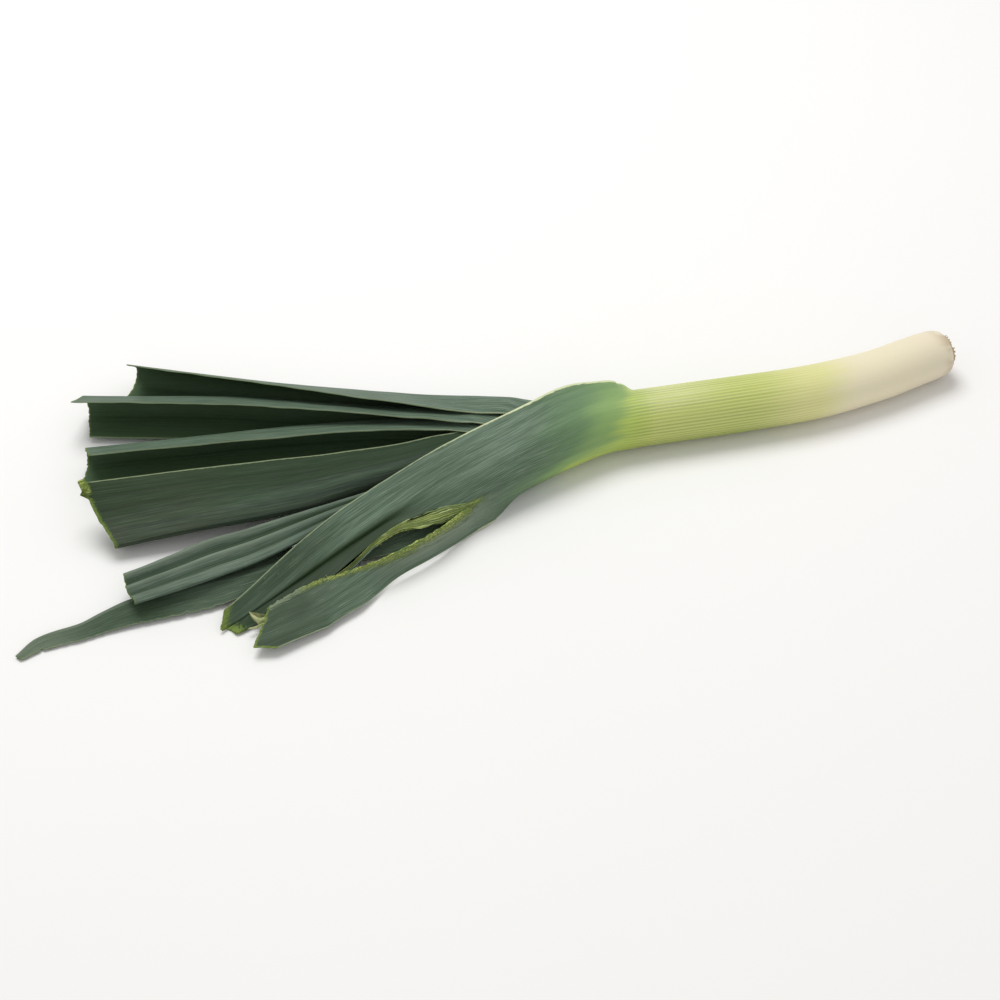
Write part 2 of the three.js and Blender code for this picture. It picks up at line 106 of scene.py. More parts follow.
STRAP_NICKS = 3.2  # depth of the nicks in the long leaf's lower margin
UPPER_TONGUE = 44  # widths of the split leaf's two tongues
LOWER_TONGUE = 26
NO_TEAR = 50.0  # distance from a tear where there is none
GIRTH = 48  # a half leaf is this wide in the units that its grain is laid out in

# Marks of the skin that are drawn out along the grain: [where the noise starts to show, where it
# is at its full strength, how fine it is across and along, its detail and its roughness]
GRAIN_NOISES = {
    "Streaks": [0.34, 0.66, 0.85, 0.011, 5.0, 0.74],
    "Hairs": [0.36, 0.64, 1.5, 0.025, 2.0, 0.7],
    "Flecks": [0.38, 0.62, 1.5, 0.07],
    "Bands": [0.32, 0.68, 0.2, 0.007],
    "Patches": [0.35, 0.68, 0.07, 0.03, 3.0, 0.55],
    "Scratches": [0.66, 0.76, 1.5, 0.07],
    "Specks": [0.7, 0.8, 1.1, 0.8],
}
VEINS = 83.0  # round a leaf
RIB_SWAY = 0.05  # how far ribs and veins wander, in radians

# Places along the grain, from the root end, where the skin changes
RIBS_RISE = (85, 165)
RIBS_FADE = (246, 222)
BLADE_RISE = (240, 310)
RIBS_RAISED = (95, 160, 208, 217.5)
DENTED = (4, 12, 205, 217)
ZONES_LENGTH = 400

SHANK_DENTS = 0.22  # depth of the shank's soft dents
DOME = 0.9  # power that rounds the root plate's dome
TORN_COLUMNS = 12  # more columns of faces across half of the split leaf
ROWS_CROWDED = 0.45  # how much closer a blade's rows lie towards its ends
COLUMNS_CROWDED = 0.5  # and its columns towards keel and margin
FLOOR_REACH = 6  # metres from the middle to the floor's edge
# Each lamp's name, its place and its diameter, in metres
LAMPS = [("key", (-0.35, 0.75, 1.9), 1.3), ("fill", (0.5, -1.7, 1.2), 1.5)]

# painted sheen on the shank's upper side, also used for its pale streaks
PALE_AND_SHEEN = (0.8, 0.78, 0.56)  # the shank's pale upper side, as linear light
SHANK_GLOSS = 0.4

# How a sheath opens beyond its collar: [distance, how far the keel has left the sheath, then for
# the upper and the lower half: the angle it still turns through, its share of the half circle]
MOUTH = [
    [12, 0.2, 172, 0.95, 172, 0.95],
    [24, 0.35, 138, 0.84, 138, 0.84],
    [36, 0.6, 104, 0.74, 104, 0.74],
    [48, 3, 90, 0.7, 90, 0.7],
]

# Each leaf is a keel line with a folded half on either side of it. A row is one station:
#   [at, x, y, z, roll, upper half: radius, start, turn, width, lower half: the same four]
# at is the distance from the leaf's collar, roll turns the keel up from the horizontal, radius is
# that of the round fold beside the keel, start and turn are the angles it turns between, and
# width runs from the keel to the margin. cut gives how much further the blade runs at five
# points from the lower to the upper margin. tear is the torn edge of a split lower half, tear_cut
# its own cut, and gully the depth of the hollow beside it. pleat is the pleats' depth as a share
# of the width, tip is where the long leaf narrows to its strap, and ear how far the curled corner
# stands out. mouth stands in for MOUTH.
LEAVES = [
    {
        "node": "leaf_1_split",
        "slot": "leaf_1",
        "rank": FRONT,
        "roll": 12,
        "gully": 4,
        "mouth": [
            [5, 0.05, 110, 0.85, 168, 0.95],
            [13, 0.4, 92, 0.83, 146, 0.88],
            [22, 0.6, 84, 0.845, 106, 0.78],
        ],
        "rows": [
            [34, 64, 28.6, 23.2, 12, 18.6, 0, 84, 53, 18.6, 0, 98, 36],
            [64, 37, 12.5, 23.5, 8, 20, 0, 84, 48, 20, -5, 98, 32],
            [95, 12, -3.5, 23, 5, 16, 10, 80, 46, 16, -20, 40, 27],
            [130, -18, -24, 20, 4, 16, 15, 72, 44, 18, -30, -8, 20],
            [158, -42.5, -37.2, 17, 4, 30, 48, 66, 39.5, 16, -25, 50, 26],
            [180, -61, -48.6, 14, 4, 45, 70, 60, 37, 16, -25, 50, 26],
            [203, -79.3, -61, 10, 4, 45, 74, 57, 36, 16, -25, 50, 26],
            [225, -97, -73.3, 7, 4, 40, 80, 54, 33.5, 16, -25, 50, 26],
            [241, -110.2, -82.4, 4.8, 4, 30, 86, 52, 31, 16, -25, 50, 26],
            [265, -129.8, -96.2, 3.2, 4, 22, 98, 46, 26, 16, -25, 50, 26],
            [283, -144.6, -106.5, 2.5, 4, 14, 108, 44, 21.5, 16, -25, 50, 26],
        ],
        "cut": [0, 0, 12, 20, 12],
        # [at, x, y, z, roll, radius, start, turn, width]
        "tear": [
            [130, -18, -24, 20, 4, 18, -30, -8, 20],
            [149, -30.5, -38, 20, 4, 18, -24, -6, 18.5],
            [167, -43.1, -49.9, 20, 4, 18, -20, -8, 17],
            [196, -67.4, -66.6, 19, 4, 20, -20, -16, 17],
            [222, -91.5, -77.1, 17, 4, 30, -46, -52, 23],
            [247, -114.6, -85, 14, 4, 30, -60, -68, 30],
            [273, -136.2, -99.8, 11, 4, 30, -68, -76, 28],
        ],
        "tear_cut": [2, 13, 6, -2, -8],
    },
    {
        "node": "leaf_2",
        "slot": "leaf_2",
        "rank": BACK,
        "rows": [
            [66, 10.5, 66, 16.5, -8, 17.5, 0, 96, 39, 17, 0, 84, 38],
            [90, -14, 71, 15.5, -8, 14, 0, 84, 39, 14, 0, 84, 38],
            [120, -43, 76.5, 13.5, -8, 10, 0, 70, 39, 10.5, 0, 82, 38],
            [165, -87, 85, 11.5, -8, 8, 0, 64, 39, 9, 0, 82, 37],
            [225, -145, 96, 8.4, -8, 8, 0, 58, 37, 8.5, 0, 82, 36],
            [325, -243, 113, 7.6, -8, 9, 0, 54, 34, 8.5, 0, 82, 34],
        ],
        "cut": [5, 2, 0, -2, -3],
    },
    {
        "node": "leaf_3_long",
        "slot": "leaf_3",
        "rank": FRONT,
        "tip": 310,
        "rows": [
            [66, 9, 8, 20.5, 8, 15.5, 0, 82, 30, 15.5, 0, 98, 29],
            [84, -6, -3, 19.5, 7, 12, 0, 76, 25, 12, 0, 92, 25],
            [101, -20, -13, 18.5, 6, 9, 10, 66, 21, 12, -10, 40, 17],
            [125, -40, -26, 15.5, 5, 8, 30, 70, 17, 16, -45, -50, 15],
            [149, -60.5, -37, 13, 5, 8, 45, 86, 17, 20, -52, -56, 14],
            [193, -100, -55, 10.4, 5, 8, 62, 96, 17, 20, -42, -48, 9],
            [223, -128, -65, 9.6, 5, 8, 75, 100, 17, 20, -46, -52, 10],
            [255, -158, -75.5, 8.8, 4, 8, 80, 102, 16, 20, -58, -62, 12],
            [271, -174, -79.5, 8, 4, 8, 82, 102, 15.5, 20, -62, -68, 15.2],
            [317, -218, -92.5, 6.5, 3, 8, 96, 126, 8, 20, -68, -74, 15.2],
            [334, -233, -101, 6, 2, 8, 100, 130, 6, 20, -66, -70, 12],
            [352, -247.6, -111, 5.5, 0, 8, 100, 130, 4, 20, -58, -64, 8.5],
            [377, -271.3, -120, 3.6, 0, 8, 96, 110, 2.5, 20, -68, -74, 7.5],
            [393, -282.2, -131.5, 1.6, 0, 8, 88, 90, 1.5, 20, -86, -88, 3.5],
        ],
        "cut": [0, 0, 0, 0, 0],
    },
    {
        "node": "leaf_4",
        "slot": "leaf_4",
        "rank": BACK,
        "rows": [
            [66, -13.5, 57.5, 17, -8, 14.5, 0, 92, 34, 14, 0, 84, 34],
            [90, -37, 61.5, 16.5, -8, 10.5, 0, 76, 34, 11, 0, 83, 34],
            [120, -67, 66, 15, -8, 8, 0, 70, 34, 9, 0, 82, 34],
            [170, -116.5, 72, 13.5, -8, 7.5, 0, 66, 34, 8, 0, 82, 33],
            [235, -181, 78, 12.5, -8, 7.5, 0, 66, 33, 8, 0, 82, 32],
            [325, -271, 79.5, 11.5, -8, 8, 0, 66, 30, 8, 0, 82, 30],
        ],
        "cut": [-5, -2, 0, 2, 4],
    },
    {
        "node": "leaf_5_pleated",
        "slot": "leaf_5",
        "rank": FRONT,
        "pleat": 0.075,
        "rows": [
            [67, -14, 8, 21, 6, 10, 0, 74, 20, 10, 0, 92, 21],
            [90, -35, -2, 20.5, 5, 7, 10, 64, 19, 7, 0, 80, 18],
            [112, -55, -12, 20, 5, 6, 25, 70, 11, 5, 0, 80, 14],
            [132, -73, -21, 19.5, 4, 6, 40, 78, 10, 4, 0, 84, 14],
            [153, -92.3, -31, 18.5, 4, 6, 50, 82, 12.5, 3, 0, 86, 16],
            [189, -121.7, -51, 16.5, 4, 6, 60, 84, 21.5, 2.4, 0, 86, 18],
            [218, -146, -67, 15.5, 4, 6, 65, 86, 27.5, 2.2, 0, 86, 20],
            [241, -167, -77.5, 15, 4, 6, 65, 86, 29, 2.2, 0, 86, 21],
            [261, -185, -86, 14.5, 4, 6, 65, 86, 27.5, 2.2, 0, 86, 21],
            [294, -216, -99.5, 13.5, 4, 6, 65, 84, 24, 2.2, 0, 86, 21],
        ],
        "cut": [-2, 0, 0, 2, 0],
    },
    {
        "node": "leaf_6",
        "slot": "leaf_6",
        "rank": BACK,
        "rows": [
            [66, -33.5, 49.5, 17.5, -8, 10.5, 0, 88, 26, 10.5, 0, 84, 26],
            [90, -57.5, 51.5, 17, -8, 8, 0, 76, 27, 8.5, 0, 83, 27],
            [120, -87.5, 52, 16, -8, 6.5, 0, 72, 28, 7.5, 0, 82, 28],
            [165, -132.5, 48.5, 15, -7, 6, 0, 70, 29, 7, 0, 82, 28],
            [225, -192, 41, 13.5, -7, 6, 0, 68, 28, 7, 0, 82, 27],
            [298, -264, 31, 11.5, -7, 7, 0, 68, 26, 7, 0, 82, 25],
        ],
        "cut": [4, 1, 0, -1, -4],
    },
    {
        "node": "leaf_7_heart",
        "slot": "leaf_7",
        "rank": FRONT,
        "ear": 8,
        "rows": [
            [66, -35, 12, 19.5, 5, 8, 0, 82, 23, 8, 0, 92, 22],
            [88, -56, 4, 18.5, 5, 7, 0, 76, 24, 7, 0, 88, 23],
            [124, -90, -9, 17, 5, 7, 0, 70, 29, 6, 0, 86, 26],
            [161, -123.6, -23, 16, 5, 8, 10, 68, 35.5, 5, 0, 86, 28],
            [219, -180, -36.5, 14, 5, 10, 20, 64, 39, 5, 0, 86, 28],
            [276, -235.2, -49.5, 10.5, 5, 12, 25, 58, 42.5, 5, 0, 86, 27],
        ],
        "cut": [-3, 0, 0, 8, 13],
    },
]

# The midrib's torn strand: [at, how far its middle lies up the tongue, half width, half thickness]
STRAND_ROWS = [
    [126, -0.6, 0.3, 0.15],
    [133, -0.4, 2.2, 0.5],
    [148, 0.8, 4.5, 0.7],
    [165, 2.6, 4.1, 0.7],
    [174, 2.6, 2.6, 0.6],
    [184, 1.6, 1.6, 0.5],
    [204, 1.2, 1.2, 0.45],
    [226, 0.8, 0.8, 0.35],
    [238, 0.3, 0.15, 0.1],
]
# The two prongs of the forked curl: [share of the way, x, y, z, half width]
CURL_ROWS = [
    [
        [0, -134, -105.5, 6.8, 1.8],
        [0.3, -138.5, -107, 7.2, 2.3],
        [0.6, -143, -107.5, 6.4, 1.9],
        [0.85, -146.5, -105, 7.2, 1.1],
        [1, -148.6, -102.5, 8.6, 0.25],
    ],
    [
        [0, -136, -106.5, 6.4, 1.4],
        [0.4, -141.5, -109.5, 5.4, 1.7],
        [0.8, -146, -111.8, 4.8, 1.1],
        [1, -148.5, -112.8, 5.2, 0.25],
    ],
]


# ---- measures along and across ----


class Table:
    """Values that change smoothly with a distance, straight beyond the first and last row."""

    def __init__(self, rows):
        last = len(rows) - 1
        self.keys = [row[0] for row in rows]
        self.values = [row[1:] for row in rows]
        self.slopes = []
        for i in range(len(rows)):
            a, b = rows[max(i - 1, 0)], rows[min(i + 1, last)]
            self.slopes.append([(q - p) / (b[0] - a[0]) for p, q in zip(a[1:], b[1:])])
        self.start, self.end = self.keys[0], self.keys[-1]

    def at(self, u):
        """The values at a distance."""
        if u <= self.start or u >= self.end:
            i = 0 if u <= self.start else -1
            step = u - self.keys[i]
            return [v + m * step for v, m in zip(self.values[i], self.slopes[i])]
        i = bisect_right(self.keys, u) - 1
        h = self.keys[i + 1] - self.keys[i]
        t = (u - self.keys[i]) / h
        # how much each row's values and slopes count
        a = 2 * t**3 - 3 * t**2 + 1
        b = (t**3 - 2 * t**2 + t) * h
        c = 3 * t**2 - 2 * t**3
        d = (t**3 - t**2) * h
        rows = zip(self.values[i], self.slopes[i], self.values[i + 1], self.slopes[i + 1])
        return [p * a + m * b + q * c + n * d for p, m, q, n in rows]

    def point(self, u):
        return Vector(self.at(u)[:3])

    def run(self, u):
        """Which way the line goes at a distance."""
        return (self.point(u + 1) - self.point(u - 1)).normalized()


AXIS = Table(AXIS_ROWS)
RADIUS = Table(RADIUS_ROWS)


def evenly(values, t):
    """Straight-line value of evenly spaced numbers at t from 0 to 1."""
    x = min(max(t, 0), 1) * (len(values) - 1)
    i = min(int(x), len(values) - 2)
    return values[i] + (values[i + 1] - values[i]) * (x - i)


def smooth(x, low, high):
    """A soft step from 0 at low to 1 at high."""
    t = min(max((x - low) / (high - low), 0), 1)
    return t * t * (3 - 2 * t)


def swell(x, start, full, fade, end):
    """Rises from 0 at start to 1 at full, and goes back to 0 between fade and end."""
    return smooth(x, start, full) * (1 - smooth(x, fade, end))


def wander(x, y, z=0.0):
    """Smooth noise from about -1 to 1."""
    return noise.noise(Vector((x, y, z)))


def section_axes(run, rank, roll):
    """Outward and upright directions of a section whose line goes along run."""
    side = (Vector((0, 0, 1)).cross(run) * rank).normalized()
    rise = (run.cross(side) * rank).normalized()
    c, s = math.cos(math.radians(roll)), math.sin(math.radians(roll))
    return side * c + rise * s, rise * c - side * s


def cad_shift():
    """How far the solids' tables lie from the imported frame, found from the shank's root end."""
    corner = Vector((-math.inf, -math.inf, 0))
    facets = 24  # round the solid, whose rings at its rounded end reach furthest
    for s in (SHANK_START, 6, 13):
        out, upright = section_axes(AXIS.run(s), FRONT, 0)
        for n in range(facets):
            turn = FULL_TURN * n / facets
            arm = out * math.cos(turn) + upright * math.sin(turn)
            p = AXIS.point(s) + arm * RADIUS.at(s)[0]
            corner.x, corner.y = max(corner.x, p.x), max(corner.y, p.y)
    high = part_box("shaft")[1] / MM
    return Vector((high.x - corner.x, high.y - corner.y, 0))


SHIFT = cad_shift()


def grain_of(angle, along):
    """Where a point lies in the grain, which runs unbroken from the shank into the leaves."""
    r = GIRTH / math.pi
    return Vector((r * math.cos(angle), r * math.sin(angle), along))


# ---- meshes ----


def finish_piece(bm, name, node, material):
    """Turns a mesh in millimetres into a piece of the leek, which may stand for a solid's node."""
    bmesh.ops.translate(bm, verts=bm.verts[:], vec=SHIFT)
    bmesh.ops.scale(bm, verts=bm.verts[:], vec=(MM, MM, MM))
    for face in bm.faces:
        face.smooth = True
    for edge in bm.edges:
        edge.smooth = edge.calc_face_angle(0) < SHARP_EDGE
    mesh = bpy.data.meshes.new(name)
    bm.to_mesh(mesh)
    bm.free()
    mesh.materials.append(material)
    piece = bpy.data.objects.new(name, mesh)
    bpy.context.scene.collection.objects.link(piece)
    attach(piece, "root")
    if node:
        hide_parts(node)


def close_up(bm, seam):
    """Merges points that are closer than seam, closes the ends and turns the faces outwards."""
    bmesh.ops.remove_doubles(bm, verts=bm.verts[:], dist=seam)
    bmesh.ops.holes_fill(bm, edges=[e for e in bm.edges if e.is_boundary])
    bmesh.ops.recalc_face_normals(bm, faces=bm.faces[:])


def point_along(bm, verts, direction, place):
    """Turns an upright part to stand along a direction, and moves it to its place."""
    turn = direction.to_track_quat("Z", "Y").to_matrix()
    bmesh.ops.rotate(bm, verts=verts, cent=(0, 0, 0), matrix=turn)
    bmesh.ops.translate(bm, verts=verts, vec=place)


# ---- node trees ----


def linear(code):
    """A hex colour code as linear light."""
    values = [int(code[i : i + 2], 16) / 255 for i in (1, 3, 5)]
    return tuple(v / 12.92 if v < 0.04045 else ((v + 0.055) / 1.055) ** 2.4 for v in values)


class Net:
    """Builds a node tree: each call adds a node, sets or links its inputs, and gives an output."""

    def __init__(self, tree):
        self.tree = tree

    def node(self, kind, inputs=(), **settings):
        node = self.tree.nodes.new("ShaderNode" + kind)
        for name, value in settings.items():
            setattr(node, name, value)
        for key, value in dict(inputs).items():
            self.feed(node.inputs[key], value)
        return node

    def feed(self, socket, value):
        """Links an output to a socket, or sets a colour, a vector or a number on it."""
        if isinstance(value, bpy.types.NodeSocket):
            self.tree.links.new(value, socket)
        elif socket.type == "RGBA":
            socket.default_value = (*value, 1)
        else:
            socket.default_value = value

    def math(self, operation, *values):
        return self.node("Math", enumerate(values), operation=operation).outputs[0]

    def times(self, product, *factors):
        """The product of masks and numbers."""
        for factor in factors:
            product = self.math("MULTIPLY", product, factor)
        return product

    def scaled(self, value, gain, offset):
        """A value times a gain, plus an offset."""
        return self.math("MULTIPLY_ADD", value, gain, offset)

    def inverse(self, mask):
        return self.math("SUBTRACT", 1.0, mask)

    def between(self, value, low, high, to_low=0.0, to_high=1.0):
        """A soft step between two values."""
        inputs = {"Value": value, "From Min": low, "From Max": high}
        inputs.update({"To Min": to_low, "To Max": to_high})
        node = self.node("MapRange", inputs, interpolation_type="SMOOTHSTEP")
        return node.outputs["Result"]

    def blend(self, mask, under, over):
        return self.node("Mix", {0: mask, 6: under, 7: over}, data_type="RGBA").outputs[2]

    def layers(self, colour, *layers):
        """Lays colours over a colour in turn; a layer is its colour and its mask's factors."""
        for over, *factors in layers:
            colour = self.blend(self.times(*factors), colour, over)
        return colour

    def noise(self, vector, scale, detail=2.0, roughness=0.5):
        inputs = {"Vector": vector, "Scale": scale, "Detail": detail, "Roughness": roughness}
        return self.node("TexNoise", inputs).outputs["Fac"]

    def fibrous(self, grain, across, along, detail=2.0, roughness=0.5):
        """Noise that is drawn out along the grain; across and along say how fine it is."""
        inputs = {0: grain, 1: (across, across, along)}
        drawn = self.node("VectorMath", inputs, operation="MULTIPLY").outputs[0]
        return self.noise(drawn, 1.0, detail, roughness)

    def attribute(self, name, output="Fac"):
        return self.node("Attribute", attribute_name=name).outputs[output]

    def group(self, tree, **inputs):
        """Places a node group; its inputs are named by their titles in lower case."""
        node = self.tree.nodes.new("ShaderNodeGroup")
        node.node_tree = tree
        for key, value in inputs.items():
            self.feed(node.inputs[key.replace("_", " ").title()], value)
        return node.outputs

    def relief(self, shader, height, distance):
        """Gives a shader bumps whose height is up to distance metres."""
        bump = self.node("Bump", {"Height": height, "Distance": distance, "Strength": 1.0})
        self.feed(shader.inputs["Normal"], bump.outputs["Normal"])


def new_material(name):
    """A new material, the net of its tree and its shader."""
    material = bpy.data.materials.new(name)
    material.use_nodes = True
    tree = material.node_tree
    return material, Net(tree), tree.nodes["Principled BSDF"]


def once(name, build, *details):
    """The node group of that name, built the first time that it is asked for."""
    return bpy.data.node_groups.get(name) or build(name, *details)


def new_group(name, inputs):
    """The net of a new node group with numbers for inputs, and the outputs of its input node."""
    tree = bpy.data.node_groups.new(name, "ShaderNodeTree")
    for title, default in inputs:
        socket = tree.interface.new_socket(title, in_out="INPUT", socket_type="NodeSocketFloat")
        socket.default_value = default
    return Net(tree), tree.nodes.new("NodeGroupInput").outputs


def finish_group(net, outputs, kind="Float"):
    """Gives a node group its outputs by their titles, all of one kind."""
    for title in outputs:
        net.tree.interface.new_socket(title, in_out="OUTPUT", socket_type="NodeSocket" + kind)
    node = net.tree.nodes.new("NodeGroupOutput")
    for title, value in outputs.items():
        net.tree.links.new(value, node.inputs[title])
    return net.tree


def grain_group(name):
    """Lengthwise ribs, veins and streaks of a leek's skin, laid out along its own grain."""
    net, given = new_group(name, [("Ribs", 52.0)])
    grain = net.attribute("grain", "Vector")
    across, upwards, along = net.node("SeparateXYZ", {0: grain}).outputs
    angle = net.math("ARCTAN2", upwards, across)
    swaying = net.scaled(net.fibrous(grain, 0.12, 0.02, 1.0), RIB_SWAY, angle)
    outputs = {"Along": along, "Side": net.math("SINE", angle)}
    for title, count in (("Ribs", given["Ribs"]), ("Veins", VEINS)):
        wave = net.math("COSINE", net.math("MULTIPLY", swaying, count))
        outputs[title] = net.scaled(wave, 0.5, 0.5)
    for title, (low, high, *fineness) in GRAIN_NOISES.items():
        outputs[title] = net.between(net.fibrous(grain, *fineness), low, high)
    return finish_group(net, outputs)


def zones_group(name, look):
    """Colour from the white root end through pale and lime green to the blades' blue-green."""
    net, given = new_group(name, [(title, 0.0) for title in ("Along", "Side", "Streaks", "Bands")])
    # colours set in earlier on the upper side, and in tongues that follow the grain
    shifted = given["Along"]
    for title, reach in (("Side", 7.0), ("Streaks", 3.0), ("Bands", 5.0)):
        shifted = net.scaled(given[title], reach, shifted)
    stops = [
        (0, look.root_white),
        (80, look.white),
        (116, look.cream),
        (160, look.pale_green),
        (218, look.pale_green),
        (236, look.lime),
        (252, look.fresh_green),
        (276, look.blade_green),
        (330, look.blade_blue),
    ]
    ramp = net.node("ValToRGB")
    ramp.color_ramp.interpolation = "EASE"
    elements = ramp.color_ramp.elements
    while len(elements) < len(stops):
        elements.new(0.5)
    for element, (s, colour) in zip(elements, stops):
        element.position = s / ZONES_LENGTH
        element.color = (*colour, 1)
    net.feed(ramp.inputs[0], net.math("DIVIDE", shifted, ZONES_LENGTH))
    return finish_group(net, {"Color": ramp.outputs["Color"]}, "Color")


def edges_group(name):
    """Masks of a blade's pale rim, cut end and torn edge, its inner face and its frayed lines."""
    net, given = new_group(name, [("Rim Width", 0.8), ("Cut Width", 1.2), ("Torn Width", 3.0)])
    distances = net.node("SeparateXYZ", {0: net.attribute("edges", "Vector")}).outputs
    grain = net.attribute("grain", "Vector")
    ragged = net.fibrous(grain, 0.9, 0.35, 3.0, 0.6)
    rough = net.fibrous(grain, 1.0, 0.8, 4.0, 0.7)
    fray = net.fibrous(grain, 1.3, 0.07, 3.0, 0.65)
    frayed = net.between(net.math("MAXIMUM", fray, rough), 0.45, 0.62)
    outputs = {"Inner": net.attribute("inner"), "Fray": frayed}
    # each edge's line is uneven: from least to most of its width
    lines = [("Rim", ragged, 0.7, 1.25), ("Cut", rough, 0.35, 1.6), ("Torn", fray, 0.15, 1.9)]
    for distance, (title, line, least, most) in zip(distances, lines):
        reach = net.times(given[title + " Width"], net.between(line, 0.25, 0.75, least, most))
        outputs[title] = net.between(net.math("DIVIDE", distance, reach), 1.15, 0.55)
    return finish_group(net, outputs)


def skin_material(name, scene, look=None):
    """The leek's skin; look is a leaf's own turn of colour, and the shank has none."""
    material, net, shader = new_material(name)
    shank = scene.leek_shank
    grain = net.group(once("Leek Grain", grain_group), ribs=float(shank.ribs))
    along, side, streaks, bands = (grain[n] for n in ("Along", "Side", "Streaks", "Bands"))
    zones = once("Leek Zones", zones_group, scene.leek_skin)
    colour = net.group(zones, along=along, side=side, streaks=streaks, bands=bands)["Color"]
    ribbed = net.times(net.between(along, *RIBS_RISE), net.between(along, *RIBS_FADE))
    # painted shade in the grooves between the ribs
    grooves = net.math("POWER", net.inverse(grain["Ribs"]), 1.4)
    # painted sheen: the green part's upper side is made paler, over pale streaks all round
    pale_and_sheen = net.times(net.between(side, 0.4, 1.0), net.between(along, 155, 205))
    pale_and_sheen = net.times(net.scaled(pale_and_sheen, 0.33, 0.09), net.scaled(streaks, 0.7, 0.3))
    colour = net.layers(
        colour,
        # painted shade: a deeper green on the lower side of the ribbed part
        (shank.deep, ribbed, net.between(side, 0.1, -0.9), 0.4),
        (shank.groove_shade, grooves, net.scaled(bands, 0.4, 0.7), ribbed, shank.rib_shade),
        (PALE_AND_SHEEN, pale_and_sheen, net.between(along, 246, 200)),
        # specks and a tan tint right at the root end
        (shank.speck, net.between(along, 16, 2), net.between(grain["Patches"], 0.35, 0.9), 0.55),
    )
    height = net.scaled(streaks, 0.4, net.times(grain["Ribs"], ribbed))
    height = net.scaled(grain["Veins"], 0.12, height)
    roughness = net.scaled(streaks, 0.12, shank.roughness - 0.06)
    if look:
        colour, height, roughness = blade_skin(net, scene, look, grain, colour, height, roughness)
    shader.inputs["Specular IOR Level"].default_value = look.gloss if look else SHANK_GLOSS
    net.feed(shader.inputs["Base Color"], colour)
    net.feed(shader.inputs["Roughness"], roughness)
    net.relief(shader, height, 0.00012)
    return material


def blade_skin(net, scene, look, grain, colour, height, roughness):
    """Lays a leaf's bloom, veins, wear, painted light and shade, and edges over its skin's colour,
    height and roughness.
    """
    leaves, tear = scene.leek_leaves, scene.leek_tear
    along, streaks, bands, patches = (grain[n] for n in ("Along", "Streaks", "Bands", "Patches"))
    veins, hairs, flecks = (grain[n] for n in ("Veins", "Hairs", "Flecks"))
    edges = net.group(
        once("Blade Edges", edges_group),
        rim_width=look.rim,
        cut_width=look.cut,
        torn_width=tear.edge / MM,
    )
    grown = net.between(along, *BLADE_RISE)
    lined = net.times(grown, look.lines)
    tone = net.attribute("tone")
    between_veins = net.math("POWER", net.inverse(veins), 3.0)
    turned = net.times(net.between(along, look.turns, look.turns + 50), look.end_depth)
    marks = net.math("MAXIMUM", net.times(grain["Scratches"], 0.7), grain["Specks"])
    rim = net.blend(net.between(along, 300, 370), leaves.young_rim, leaves.rim)
    rim_light = net.times(net.between(along, 330, 400, 1.0, 0.6), look.rim_light)
    shred = net.blend(edges["Fray"], tear.torn, tear.shade)
    shred = net.blend(net.between(along, look.dries, look.dries + 20), shred, tear.dried)
    stub = net.blend(edges["Fray"], leaves.cut, tear.shade)
    colour = net.layers(
        colour,
        (linear(look.tint), grown, look.depth),
        # broad bands where the bloom is rubbed off, then the bloom, veins and hairlines
        (leaves.rubbed, bands, grown, 0.5),
        (leaves.bloom, streaks, net.scaled(patches, 0.75, 0.25), grown, look.bloom),
        (leaves.bloom, net.math("POWER", veins, 3.0), lined, streaks, 0.3),
        (leaves.pale_hair, net.math("POWER", hairs, 2.0), grown, 0.1 + 0.27 * look.bloom),
        (leaves.dark_hair, net.inverse(hairs), lined, 0.25),
        (leaves.pale_fleck, flecks, lined, 0.15),
        (leaves.dark_fleck, net.inverse(flecks), lined, 0.17),
        (leaves.between_veins, between_veins, lined, net.inverse(streaks), 0.35),
        # towards its end each leaf takes on a colour of its own, in patches that follow the grain
        (linear(look.end), turned, net.scaled(patches, 0.4, 0.6), net.scaled(streaks, 0.4, 0.6)),
        (leaves.scratch, marks, lined, 0.5),
        # above 0 this lays thick bloom and painted highlights, below 0 bare skin and painted shade
        (leaves.dust_and_highlight, net.math("MAXIMUM", tone, 0.0), net.scaled(streaks, 0.5, 0.5), 0.75),
        (leaves.bare_and_shade, net.math("MAXIMUM", net.times(tone, -1.0), 0.0), 0.9),
        (leaves.gutter, edges["Inner"], net.scaled(grown, 0.3, 0.6)),
        (rim, edges["Rim"], rim_light),
        (shred, edges["Torn"], 0.92),
        (stub, edges["Cut"], look.cut_light),
    )
    height = net.scaled(net.times(bands, grown), 1.2, height)
    height = net.scaled(net.times(edges["Fray"], edges["Torn"]), 2.0, height)
    roughness = net.scaled(grown, leaves.roughness - scene.leek_shank.roughness, roughness)
    roughness = net.scaled(edges["Cut"], 0.25, roughness)
    return colour, height, roughness


# ---- settings ----


def colour_property(name, description, code):
    return FloatVectorProperty(
        name=name,
        description=description,
        subtype="COLOR",
        size=3,
        min=0,
        max=1,
        default=linear(code),
    )


def length_property(name, description, millimetres):
    return FloatProperty(
        name=name, description=description, default=millimetres * MM, min=0, unit="LENGTH"
    )


def share_property(name, description, share):
    return FloatProperty(name=name, description=description, default=share, min=0, max=1)


def count_property(name, description, count, least=0):
    return IntProperty(name=name, description=description, default=count, min=least)


class LeekSkinSettings(bpy.types.PropertyGroup):
    """Colours of the skin, from the root end to the blades"""

    root_white: colour_property("Root White", "Skin beside the root plate", "#e4d8bf")
    white: colour_property("White", "Blanched skin of the shank", "#e6dcbd")
    cream: colour_property("Cream", "Where the white begins to turn green", "#d9d691")
    pale_green: colour_property("Pale Green", "Ribbed green part of the shank", "#c3cc70")
    lime: colour_property("Lime", "Bright band where the leaf starts", "#b0c462")
    fresh_green: colour_property("Fresh Green", "Green just beyond the bright band", "#84a263")
    blade_green: colour_property("Blade Green", "Green foot of the blades", "#66855b")
    blade_blue: colour_property("Blade Blue-green", "Waxy green of the blades", "#576f58")


